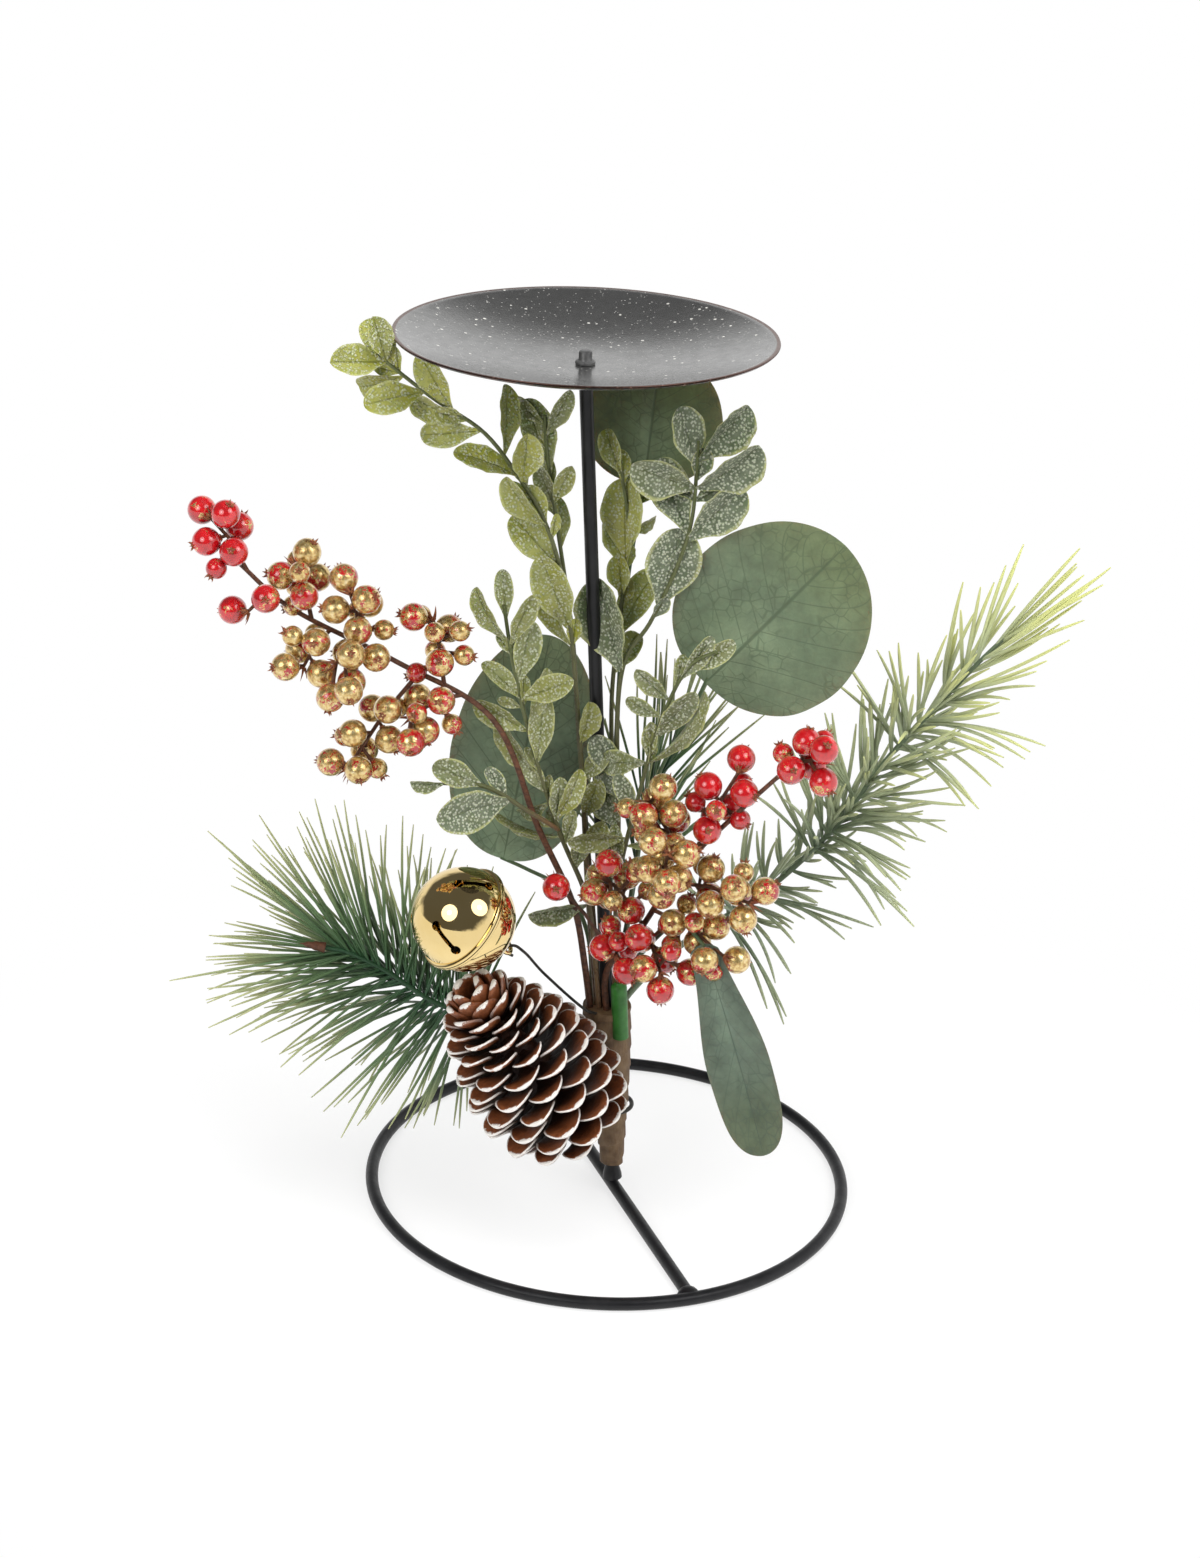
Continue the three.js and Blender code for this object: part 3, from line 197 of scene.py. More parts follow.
def smooth_line(points, per_span=14):
    """A centripetal Catmull-Rom line through the points."""
    ends = [points[0] * 2 - points[1], *points, points[-1] * 2 - points[-2]]
    line = []
    for a, b, c, d in zip(ends, ends[1:], ends[2:], ends[3:]):
        first, second, third = ((q - p).length ** 0.5 for p, q in ((a, b), (b, c), (c, d)))
        leave = ((b - a) / first - (c - a) / (first + second) + (c - b) / second) * second
        reach = ((c - b) / second - (d - b) / (second + third) + (d - c) / third) * second
        for k in range(per_span):
            t = k / per_span
            line.append(b * (2 * t ** 3 - 3 * t ** 2 + 1) + leave * (t ** 3 - 2 * t ** 2 + t)
                        + c * (3 * t ** 2 - 2 * t ** 3) + reach * (t ** 3 - t ** 2))
    line.append(points[-1].copy())
    return Line(line)


ROD_FOOT = on_circle(ROD_STATION, BAR_ANGLE, 2 * WIRE_RADIUS + CLEARANCE)
SEAT_HEIGHT = DISH_RIM_HEIGHT - DISH_DEPTH
SHOULDER_HEIGHT = SEAT_HEIGHT - DISH_WALL - CLEARANCE
LEAN = -ROD_LEAN / (SHOULDER_HEIGHT - ROD_FOOT.z)


def rod_axis(height):
    return ROD_FOOT + Vector((LEAN, 0, 1)) * (height - ROD_FOOT.z)


def at(right, back, up):
    """A place in millimetres from the rod's axis at the top of the tape."""
    return rod_axis(TAPE_TOP + up * MM) + Vector((right, back, 0)) * MM


def even(radius):
    return lambda share: radius


def tapering(radius, loss=0.4):
    return lambda share: radius * (1 - loss * share)


def midrib(base, along, facing, length, bend, stations):
    """Stations on a rib that bends away from the side it faces, with their places and normals."""
    middle, last = base, 0
    for share in stations:
        turn = bend(share)
        forward = along * math.cos(turn) - facing * math.sin(turn)
        middle = middle + forward * length * (share - last)
        last = share
        yield share, middle, facing * math.cos(turn) + along * math.sin(turn)


# Meshes

@contextmanager
def opened(mesh):
    """A mesh opened for changes, which are written back to it."""
    shaped = bmesh.new()
    shaped.from_mesh(mesh)
    yield shaped
    shaped.to_mesh(mesh)
    shaped.free()


def put(name, data):
    thing = bpy.data.objects.new(name, data)
    SCENE.collection.objects.link(thing)
    return thing


class Skin:
    """Closed forms gathered into one mesh, with marks that the materials read: along, across and tint."""

    def __init__(self):
        self.places = []
        self.faces = []
        self.marks = []

    def loft(self, rings, along=None, across=None, tint=0.5, wrap=False):
        """Faces between rings of points, closed by a cap at each end or wrapped round to the first ring."""
        start, sides, last = len(self.places), len(rings[0]), len(rings) - 1
        for k, ring in enumerate(rings):
            share = along[k] if along else k / last
            for i, place in enumerate(ring):
                self.places.append(place)
                self.marks.append((share, across[i] if across else i / sides, tint))
        for k in range(last + 1 if wrap else last):
            low, high = start + k * sides, start + (k + 1) % (last + 1) * sides
            for i in range(sides):
                j = (i + 1) % sides
                self.faces.append((low + i, low + j, high + j, high + i))
        if not wrap:
            self.faces.append(tuple(start + i for i in reversed(range(sides))))
            self.faces.append(tuple(start + last * sides + i for i in range(sides)))
        return self

    def tube(self, line, radius_at, sides, steps, tint=0.5):
        """A rod along a line, with rings that don't twist."""
        heading = line.heading(0)
        normal = heading.orthogonal().normalized()
        rings = []
        for k in range(steps + 1):
            share = k / steps
            ahead = line.heading(share)
            normal = flatten(heading.rotation_difference(ahead) @ normal, ahead)
            heading = ahead
            rings.append(circle(line.place(share), normal, ahead.cross(normal), radius_at(share), sides))
        return self.loft(rings, tint=tint)

    def turned(self, profile, segments, place=on_circle, **marks):
        """A profile of (radius, height) pairs turned round an axis."""
        return self.loft([[place(r, a, z) for a in turns(segments)] for r, z in profile], **marks)

    def hoop(self, reach, radius, centre, sides, segments):
        """A ring of wire round a vertical axis."""
        profile = [(reach + radius * math.cos(a), radius * math.sin(a)) for a in turns(sides)]
        return self.turned(profile, segments, lambda *place: centre + on_circle(*place), wrap=True)

    def mesh(self, name):
        mesh = bpy.data.meshes.new(name)
        mesh.from_pydata(self.places, [], self.faces)
        return mesh

    def make(self, name, material, slot, *nodes, body="root"):
        """The finished piece, which rides on a body and stands for CAD nodes."""
        mesh = self.mesh(name)
        for index, mark in enumerate(("along", "across", "tint")):
            layer = mesh.attributes.new(mark, "FLOAT", "POINT")
            layer.data.foreach_set("value", [marks[index] for marks in self.marks])
        with opened(mesh) as shaped:
            bmesh.ops.recalc_face_normals(shaped, faces=shaped.faces)
        mesh.polygons.foreach_set("use_smooth", [True] * len(mesh.polygons))
        mesh.set_sharp_from_angle(angle=SHARP_ANGLE)
        mesh.materials.append(material)
        piece = put(name, mesh)
        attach(piece, body)
        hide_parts(*nodes)
        return piece


# Material nodes

class Value:
    """An output in a node graph: sums, products and comparisons of it add maths nodes."""

    def __init__(self, graph, socket):
        self.graph = graph
        self.socket = socket

    def __add__(self, other):
        return self.graph.math("ADD", self, other)

    def __sub__(self, other):
        return self.graph.math("SUBTRACT", self, other)

    def __mul__(self, other):
        return self.graph.math("MULTIPLY", self, other)

    def __gt__(self, other):
        return self.graph.math("GREATER_THAN", self, other)

    def __abs__(self):
        return self.graph.math("ABSOLUTE", self)


class Graph:
    """Short names for the nodes that the materials and the world share."""

    def __init__(self, name, kind="materials", shader="Principled BSDF", output="Material Output"):
        self.owner = getattr(bpy.data, kind).new(name)
        self.owner.use_nodes = True
        self.tree = self.owner.node_tree
        self.shader = self.tree.nodes[shader]
        self.output = self.tree.nodes[output]

    def plug(self, value, socket):
        """Links a value to an input, or sets the input to a plain number or colour."""
        if isinstance(value, Value):
            self.tree.links.new(value.socket, socket)
        elif socket.type == "RGBA":
            socket.default_value = (*value, 1)
        else:
            socket.default_value = value

    def take(self, kind, plugs, output=0, **settings):
        """One output of a new node with these inputs and settings."""
        node = self.tree.nodes.new("ShaderNode" + kind)
        for key, value in settings.items():
            setattr(node, key, value)
        for key, value in plugs.items():
            self.plug(value, node.inputs[key])
        return Value(self, node.outputs[output])

    def set(self, **inputs):
        """Sets inputs of the shader, named with underscores for spaces."""
        for key, value in inputs.items():
            self.plug(value, self.shader.inputs[key.replace("_", " ")])

    def show(self, rays, shader):
        """Another shader in place of the graph's own, for a share of the rays."""
        own = Value(self, self.shader.outputs[0])
        self.plug(self.take("MixShader", {0: rays, 1: own, 2: shader}), self.output.inputs["Surface"])

    def math(self, operation, a, b=0.0, **settings):
        return self.take("Math", {0: a, 1: b}, operation=operation, **settings)

    def larger(self, a, b):
        return self.math("MAXIMUM", a, b)

    def mark(self, name):
        """A number that the mesh carries."""
        return self.take("Attribute", {}, "Fac", attribute_name=name)

    def place(self, space="Object"):
        return self.take("TexCoord", {}, space)

    def noise(self, scale, detail=3.0, roughness=0.55, stretch=None, space="Object"):
        place = self.place(space)
        if stretch:
            place = self.take("VectorMath", {0: place, 1: stretch}, operation="MULTIPLY")
        plugs = {"Vector": place, "Scale": scale, "Detail": detail, "Roughness": roughness}
        return self.take("TexNoise", plugs, "Fac")

    def cells(self, scale, feature="F1"):
        """The distance from the middle of the nearest cell, or from its edge."""
        return self.take("TexVoronoi", {"Vector": self.place(), "Scale": scale}, "Distance", feature=feature)

    def flakes(self, scale, channel, least, outer, inner):
        """Round flakes in the cells whose random colour is above a value in one channel."""
        distance = self.cells(scale)
        colour = Value(self, distance.socket.node.outputs["Color"])
        return (self.take("SeparateColor", {0: colour}, channel) > least) * self.step(distance, outer, inner)

    def span(self, value, low, high, to_low, to_high, kind="LINEAR"):
        """Carries the stretch of a value from low to high onto another stretch."""
        ends = {"Value": value, "From Min": low, "From Max": high, "To Min": to_low, "To Max": to_high}
        return self.take("MapRange", ends, interpolation_type=kind)

    def step(self, value, low, high):
        """A smooth step from 0 at low to 1 at high, either way round."""
        ends = (low, high, 0.0, 1.0) if low < high else (high, low, 1.0, 0.0)
        return self.span(value, *ends, "SMOOTHSTEP")

    def vary(self, noise, low, high):
        """A number between low and high that follows a noise."""
        return self.span(noise, *NOISE_RANGE, low, high)

    def ramp(self, value, *stops):
        """Colours along a value, from pairs of a position and a colour."""
        result = self.take("ValToRGB", {"Fac": value}, "Color")
        elements = result.socket.node.color_ramp.elements
        while len(elements) < len(stops):
            elements.new(0.5)
        for element, (position, colour) in zip(elements, stops):
            element.position = position
            element.color = (*colour, 1)
        return result

    def tones(self, noise, *colours):
        """Two colours that follow a noise."""
        return self.ramp(noise, *zip(NOISE_RANGE, colours))

    def mix(self, factor, a, b, blend="MIX"):
        colours = {"Factor": factor, "A": a, "B": b}
        return self.take("Mix", colours, "Result", data_type="RGBA", blend_type=blend)

    def times(self, a, b):
        """Two colours multiplied."""
        return self.mix(1, a, b, "MULTIPLY")

    def stem(self, leaf, stalk):
        """The leaf's colour, but the stalk's where the tint mark says that the form is a stem."""
        return self.mix(self.mark("tint") > STEM_TINT - 0.5, leaf, stalk)

    def finish(self, colour, roughness, height, strength, distance, **inputs):
        """The material with its colour, roughness and bump, and other inputs of the shader."""
        bump = self.take("Bump", {"Height": height, "Strength": strength, "Distance": distance}, "Normal")
        self.set(Base_Color=colour, Roughness=roughness, Normal=bump, **inputs)
        return self.owner


# Materials

def brighter(colour, factor):
    return tuple(factor * c for c in colour)


def plain_finish(name, tone, dark, light, shine, grain, **inputs):
    """A mottled tone (scale, detail), an uneven shine (scale, from, to), a grain (scale, detail, bump)."""
    g = Graph(name)
    mottled, uneven = g.tones(g.noise(*tone), dark, light), g.vary(g.noise(shine[0]), *shine[1:])
    return g.finish(mottled, uneven, g.noise(*grain[:2]), *grain[2:], **inputs)


def dish_paint():
    """Satin grey metal with silver glitter whose glints are painted as pale matt specks, a brown line on the
    rim and a black underside.
    """
    g = Graph("dish_paint")
    paint = g.tones(g.noise(420, 4), (0.255, 0.255, 0.252), (0.295, 0.295, 0.291))
    rarity = g.span(g.take("SeparateXYZ", {0: g.place()}, "X"), -0.07, 0.04, 0.8, 0.9)
    # Real glitter flakes, coarse and fine, painted pale grey and matt: their glints are painted glints,
    # bright from every side.
    fine_flakes = g.flakes(1300, channel=1, least=0.86, outer=0.4, inner=0.2)
    glitter = g.flakes(430, channel=0, least=rarity, outer=0.26, inner=0.13)
    sparkle = g.larger(glitter, fine_flakes * 0.5)
    top = g.mix(sparkle, paint, (0.52, 0.51, 0.47))
    lined = g.mix(g.step(g.mark("along"), 0.984, 0.992), top, (0.13, 0.07, 0.055))
    under = g.mark("tint") > HIGH_TINT
    return g.finish(g.mix(under, lined, (0.01, 0.01, 0.011)), g.vary(g.noise(300), 0.2, 0.27),
                    g.noise(1500, 2) + sparkle, 0.12, 0.0003,
                    Metallic=g.span(g.larger(under, sparkle), 0, 1, 0.92, 0.0))


def crepe_tape():
    """Brown crepe with upright fibres, darker down one side."""
    g = Graph("crepe_tape")
    fibres = g.noise(1600, 4, stretch=(1, 1, 0.25))
    tone = g.ramp(g.noise(240, 4), (0.25, (0.075, 0.042, 0.02)), (0.5, (0.14, 0.085, 0.042)),
                  (0.8, (0.2, 0.13, 0.068)))
    edged = g.mix(g.step(g.mark("across"), 0.9, 1.0), tone, (0.08, 0.04, 0.018))
    return g.finish(edged, g.vary(fibres, 0.6, 0.85), fibres, 0.35, 0.0006)


def cone_scale():
    """Chestnut scales with fibres, with painted shade that darkens them towards the core, and thin white
    paint on their margins.
    """
    g = Graph("cone_scale")
    along, side = g.mark("along"), abs(g.mark("across"))
    fibres = g.noise(700, 5, 0.65)
    wood = g.ramp(fibres, (0.25, (0.085, 0.022, 0.007)), (0.5, (0.19, 0.055, 0.017)),
                  (0.78, (0.32, 0.115, 0.042)))
    # Painted shade: the wood darkens towards the core along each scale, where the shade between the scales
    # falls.
    body = g.times(wood, g.ramp(along, (0.45, (0.08, 0.07, 0.06)), (0.95, WHITE)))
    uneven = (g.noise(420, 4, 0.7) - 0.5) * 0.22
    end = g.step(along + uneven, 0.945, 0.975)
    flank = g.step(side + uneven, 0.87, 0.96) * g.step(along, 0.55, 0.7)
    paint = g.larger(end, flank * g.step(g.mark("tint"), 0.9, 0.7))
    painted = g.mix(paint, body, (0.72, 0.69, 0.65))
    return g.finish(painted, g.vary(fibres, 0.36, 0.6), fibres, 0.35, 0.0007)


def bark():
    """Dark brown twig wrap with fine turns; where the tint mark is high, dry red bracts."""
    g = Graph("bark")
    laps = g.math("FRACT", g.mark("along") * 46.0 + g.mark("across"))
    tone = g.tones(g.noise(700, 4), (0.04, 0.014, 0.007), (0.13, 0.05, 0.024))
    wrap = g.mix(g.step(laps, 0.8, 1.0) * 0.6, tone, (0.025, 0.01, 0.006))
    dry = g.tones(g.noise(900), (0.12, 0.016, 0.01), (0.3, 0.12, 0.045))
    colour = g.mix(g.mark("tint") > HIGH_TINT, wrap, dry)
    return g.finish(colour, g.vary(g.noise(500), 0.5, 0.75), laps + g.noise(1500), 0.3, 0.0004)


def berry_lacquer():
    """Red lacquer with gold leaf: the tint mark says how much of a berry is gold."""
    g = Graph("berry_lacquer")
    red = g.ramp(g.noise(260), (0.3, (0.26, 0.003, 0.005)), (0.65, (0.5, 0.005, 0.009)))
    leaf = g.noise(260) * 0.62 + g.noise(1500, 3, 0.6) * 0.38
    edge = g.span(g.mark("tint"), 0, 1, 0.645, 0.412)
    gold = g.step(leaf - edge, -0.014, 0.014)
    gilt = g.ramp(g.noise(800, 4), (0.28, (0.3, 0.13, 0.035)), (0.5, (0.7, 0.49, 0.17)),
                  (0.78, (0.95, 0.82, 0.5)))
    colour, roughness = g.mix(gold, red, gilt), g.span(gold, 0, 1, 0.16, 0.27)
    return g.finish(colour, roughness, gold * g.noise(1300), 0.2, 0.0004, Metallic=gold * 0.85,
                    Coat_Weight=1.0, Coat_Roughness=0.04, Specular_IOR_Level=0.8)


def frosted_leaf():
    """Olive leaves under a crust of frost; the tint mark runs from white with frost to yellow olive."""
    g = Graph("frosted_leaf")
    side, tint = abs(g.mark("across")), g.mark("tint")
    tone = tint + (g.noise(140) - 0.5) * 0.5
    base = g.ramp(tone, (0.1, (0.078, 0.098, 0.055)), (0.5, (0.165, 0.175, 0.05)), (0.9, (0.25, 0.25, 0.03)))
    edge = g.mix(g.step(side, 0.8, 0.95) * 0.75, base, (0.4, 0.41, 0.15))
    rib = g.step(side, 0.06, 0.02)
    ribbed = g.mix(rib * 0.3, edge, (0.085, 0.1, 0.035))
    blots = g.mix(g.step(g.noise(800, 4, 0.7), 0.5, 0.68) * 0.45, ribbed, (0.08, 0.1, 0.04))
    patch = g.noise(420, 5, 0.7) - tint * 0.1
    frost = g.step(g.cells(1150), 0.6, 0.25) * g.step(patch, 0.26, 0.46)
    film = g.step(g.noise(220), 0.35, 0.65) * 0.11
    leaf = g.mix(g.larger(film, frost * 0.72), blots, (0.52, 0.54, 0.42))
    stalk = g.ramp(g.mark("along"), (0.1, (0.15, 0.085, 0.04)), (0.4, (0.08, 0.075, 0.034)),
                   (0.9, (0.085, 0.1, 0.035)))
    return g.finish(g.stem(leaf, stalk), g.span(frost, 0, 1, 0.5, 0.85), frost - rib * 0.8, 0.6, 0.0006,
                    Subsurface_Weight=0.12, Subsurface_Scale=0.002, Subsurface_Radius=(0.6, 1.0, 0.2))


def veined_leaf(name, dark, light, vein, ribs, shadow_streak):
    """A large printed leaf: midrib, side veins that run forward, and a fine net between them, with painted
    light and shade: a sheen, a brightness for each leaf and, where asked, dark shadow streaks.
    """
    g = Graph(name)
    along, side = g.mark("along"), abs(g.mark("across"))
    # Painted light and shade for each leaf by its tint mark: darker and yellower at 0, lighter and bluer at
    # 0.35, plain at 0.7.
    tone = g.ramp(g.mark("tint"), (0.0, (0.75, 0.72, 0.5)), (0.35, (1.25, 1.32, 1.4)), (0.7, WHITE))
    base = g.times(g.ramp(g.noise(60, 5, 0.6), (0.3, dark), (0.72, light)), tone)
    # Painted sheen: lighter along the midrib towards the foot of the leaf.
    painted_sheen = g.step(side, 0.7, 0.0) * g.step(along, 0.8, 0.2)
    lit = g.mix(painted_sheen * 0.7, base, brighter(light, 1.4))
    yellower = (0.9 * light[0], 0.8 * light[1], 0.45 * light[2])
    olive = g.mix(g.step(along, 0.5, 1.0) * 0.5, lit, yellower)
    aged = g.times(olive, g.ramp(g.noise(170, 5, 0.7), (0.35, (0.8, 0.8, 0.78)), (0.65, (1.15, 1.15, 1.12))))
    rib = g.step(side, 0.03, 0.008)
    run = g.math("FRACT", along * ribs - side * (ribs * 0.3))
    branch = g.step(abs(run - 0.5), 0.045, 0.012)
    net = g.step(g.cells(290, "DISTANCE_TO_EDGE"), 0.075, 0.02) * g.step(g.noise(90), 0.4, 0.6)
    veins = g.larger(rib * 0.8, g.larger(branch * 0.6, net * 0.55))
    printed = g.mix(veins * 0.85, aged, vein)
    # Painted shadow: dark streaks that run up the leaf, as strong as the last argument says.
    shadow_streaks = g.step(g.noise(55, 4, 0.6, stretch=(1, 1, 0.3)), 0.58, 0.75)
    leaf = g.mix(shadow_streaks * shadow_streak, printed, brighter(dark, 0.35))
    stalk = g.ramp(along, (0.08, (0.1, 0.05, 0.022)), (0.3, (0.05, 0.07, 0.03)), (0.9, (0.07, 0.11, 0.05)))
    return g.finish(g.stem(leaf, stalk), g.vary(g.noise(180), 0.42, 0.6), g.noise(700) - veins, 0.3, 0.0005,
                    Subsurface_Weight=0.08, Subsurface_Scale=0.002)


def needles(name, root, middle, tip, own, shift):
    """Needles that pale towards their tips by one share, and towards the end of their sprig by another."""
    g = Graph(name)
    start = 0.5 - own / 2
    pale = g.mark("along") * own + g.span(g.mark("tint"), 0, 1, start - shift / 2, start + shift / 2)
    plain = g.ramp(pale, (0.1, root), (0.5, middle), (0.95, tip))
    mottled = g.mix(g.step(g.noise(500), 0.5, 0.75) * 0.2, plain, brighter(middle, 1.6))
    colour = g.stem(mottled, brighter(root, 0.8))
    return g.finish(colour, g.vary(g.noise(400), 0.4, 0.58), g.noise(1600), 0.2, 0.0003)


BLACK = plain_finish("black_paint", (140, 3), (0.005, 0.005, 0.006), (0.011, 0.011, 0.012),
                     (260, 0.3, 0.46), (900, 2, 0.12, 0.0004), IOR=1.38)
RIVET = plain_finish("grey_steel", (500, 4), (0.1, 0.1, 0.1), (0.18, 0.18, 0.178),
                     (700, 0.34, 0.5), (1500, 2, 0.15, 0.0003), Metallic=0.7)
GREEN = plain_finish("green_plastic", (300, 3), (0.018, 0.1, 0.014), (0.035, 0.17, 0.025),
                     (500, 0.38, 0.55), (1200, 3, 0.1, 0.0003))
GOLD = plain_finish("gold_plate", (90, 3), (0.83, 0.62, 0.27), (0.88, 0.69, 0.34),
                    (300, 0.035, 0.07), (160, 2, 0.03, 0.0004), Metallic=1.0)
WIRE = plain_finish("dark_wire", (500, 3), (0.02, 0.018, 0.016), (0.06, 0.055, 0.048),
                    (900, 0.3, 0.5), (1800, 3, 0.15, 0.0002), Metallic=0.7)
DISH = dish_paint()
TAPE = crepe_tape()
CONE = cone_scale()
BARK = bark()
BERRY = berry_lacquer()
FROST = frosted_leaf()
ROUND_LEAF = veined_leaf("round_leaf", (0.085, 0.12, 0.07), (0.13, 0.175, 0.105),
                         (0.045, 0.07, 0.035), ribs=9, shadow_streak=0.0)
STRAP_LEAF = veined_leaf("strap_leaf", (0.06, 0.086, 0.06), (0.092, 0.126, 0.092),
                         (0.042, 0.062, 0.045), ribs=7, shadow_streak=0.6)
LONG_NEEDLE = needles("long_needle", (0.014, 0.055, 0.02), (0.09, 0.15, 0.06), (0.4, 0.41, 0.2),
                      own=0.85, shift=0.15)
MOULDED_NEEDLE = needles("moulded_needle", (0.12, 0.165, 0.095), (0.33, 0.37, 0.22), (0.58, 0.6, 0.22),
                         own=0.55, shift=0.6)


# Stand

WIRE_SIDES = 20
WELD_ROWS = 12
WELD_SINK = 0.35
WELD_FLATNESS = 0.68
WELD_RIPPLE = 0.06
ROD_WELD_SHARE = 0.022
ROD_WELD_SPREAD = 0.55
DISH_STEPS = 24
RIVET_PROFILE = [(0.01, 0.1), (2.8, 0.1), (2.95, 0.4), (2.9, 0.9), (2.6, 1.15), (2.05, 1.25), (1.95, 1.5),
                 (1.95, 3.3), (1.85, 3.75), (1.5, 3.95), (0.7, 4.0), (0.01, 4.0)]
SEAT_CENTRE = rod_axis(SEAT_HEIGHT)


def add_ring():
    ring = Skin().hoop(RING_RADIUS, WIRE_RADIUS, UP * WIRE_RADIUS, sides=WIRE_SIDES, segments=180)
    ring.make("ring_foot", BLACK, "black_paint", "base_ring")


def add_crossbar():
    """The bar, with a bead of weld that runs out onto the ring at each end."""
    heading = on_circle(1, BAR_ANGLE, 0)
    lift = UP * WIRE_RADIUS
    reach = RING_RADIUS - WIRE_RADIUS * 0.6
    line = Line([lift - heading * reach, lift, lift + heading * reach])
    skin = Skin().tube(line, even(WIRE_RADIUS), sides=WIRE_SIDES, steps=60)
    side = UP.cross(heading)
    for hand in (-1, 1):
        rings = []
        for k in range(WELD_ROWS + 1):
            polar = math.pi * k / WELD_ROWS
            out = reach - WELD_RADIUS * WELD_SINK - WELD_RADIUS * math.cos(polar)
            middle = lift + heading * hand * out
            radius = max(WELD_RADIUS * math.sin(polar), POINT_RADIUS)
            ring = []
            for a in turns(WIRE_SIDES):
                lump = 1 + WELD_RIPPLE * math.sin(3 * a + 2 * polar + hand)
                rise = UP * radius * math.sin(a) * WELD_FLATNESS * lump
                ring.append(middle + side * radius * math.cos(a) * lump + rise)
            rings.append(ring)
        skin.loft(rings)
    skin.make("cross_bar", BLACK, "black_paint", "crossbar")


def add_rod():
    """The post, with a weld that spreads at its foot."""
    def radius(share):
        weld = smooth_step(ROD_WELD_SHARE, 0.0, share) if share < ROD_WELD_SHARE else 0.0
        return WIRE_RADIUS * (1 + ROD_WELD_SPREAD * weld)

    line = Line([ROD_FOOT, rod_axis(SHOULDER_HEIGHT)])
    rod = Skin().tube(line, radius, sides=WIRE_SIDES, steps=240)
    rod.make("rod", BLACK, "black_paint", "upright_rod")


def over_rod(radius, angle, height):
    """A place at a height, round the vertical axis of the dish."""
    return Vector((SEAT_CENTRE.x, SEAT_CENTRE.y, 0)) + on_circle(radius, angle, height)


def dish_profile():
    """Radii and heights of the dish's upper face from the middle to the rim."""
    rows = [(0.4 * MM, SEAT_HEIGHT), (DISH_SEAT_RADIUS * 0.5, SEAT_HEIGHT)]
    for k in range(DISH_STEPS + 1):
        share = k / DISH_STEPS
        rows.append((DISH_SEAT_RADIUS + (DISH_RADIUS - DISH_SEAT_RADIUS) * share,
                     SEAT_HEIGHT + DISH_DEPTH * share ** DISH_CURVE))
    return rows


def add_dish():
    """The upper and the lower face, each without its cap at the rolled rim, where they are joined."""
    upper = dish_profile()
    edge = upper[-1]
    rolled = [(edge[0] + 0.35 * MM, edge[1] - 0.1 * MM), (edge[0] + 0.5 * MM, edge[1] - DISH_WALL * 0.5)]
    lower = [(r, z - DISH_WALL) for r, z in reversed(upper)]
    skin = Skin()
    for profile, tint, rim_cap in ((upper + rolled, 0.0, -1), ([rolled[-1], *lower], 1.0, -2)):
        shares = [r / DISH_RADIUS for r, _ in profile]
        skin.turned(profile, segments=200, place=over_rod, along=shares, tint=tint)
        skin.faces.pop(rim_cap)
    piece = skin.make("dish", DISH, "dish_paint", "candle_dish")
    with opened(piece.data) as shaped:
        bmesh.ops.remove_doubles(shaped, verts=shaped.verts, dist=1e-6)


def add_rivet():
    profile = [(r * MM, SEAT_HEIGHT + z * MM) for r, z in RIVET_PROFILE]
    rivet = Skin().turned(profile, segments=48, place=over_rod)
    rivet.make("rivet", RIVET, "black_paint", "dish_rivet")


# Stems

INNER_SLOT = WIRE_RADIUS + CLEARANCE + STEM_RADIUS
OUTER_SLOT = INNER_SLOT + STEM_RADIUS + CLEARANCE + STEM_RADIUS
INNER_BRANCH_SLOT = WIRE_RADIUS + CLEARANCE + BRANCH_RADIUS
OUTER_BRANCH_SLOT = INNER_SLOT + STEM_RADIUS + CLEARANCE + BRANCH_RADIUS
TAPE_FOOT_RADIUS = WIRE_RADIUS + CLEARANCE + 2 * TAPE_WALL
TAPE_TOP_RADIUS = OUTER_BRANCH_SLOT + BRANCH_RADIUS + CLEARANCE + TAPE_WALL
INNER_DEPTH = -14
OUTER_DEPTH = -9
MOUTH = -2


def beside_rod(reach, turn):
    """Millimetres to the right and back for a distance from the rod's axis and a turn in degrees."""
    angle = math.radians(turn)
    return reach / MM * math.cos(angle), reach / MM * math.sin(angle)


def bound(reach, turn, low, high):
    """Two points that hold a stem against the rod, inside the tape."""
    return [(*beside_rod(reach, turn), up) for up in (low, high)]


def inner(turn, slot=INNER_SLOT):
    return bound(slot, turn, INNER_DEPTH, MOUTH)


def outer(turn, slot=OUTER_SLOT):
    return bound(slot, turn, OUTER_DEPTH, MOUTH)


PICK_AT = beside_rod(TAPE_TOP_RADIUS, PICK_TURN)

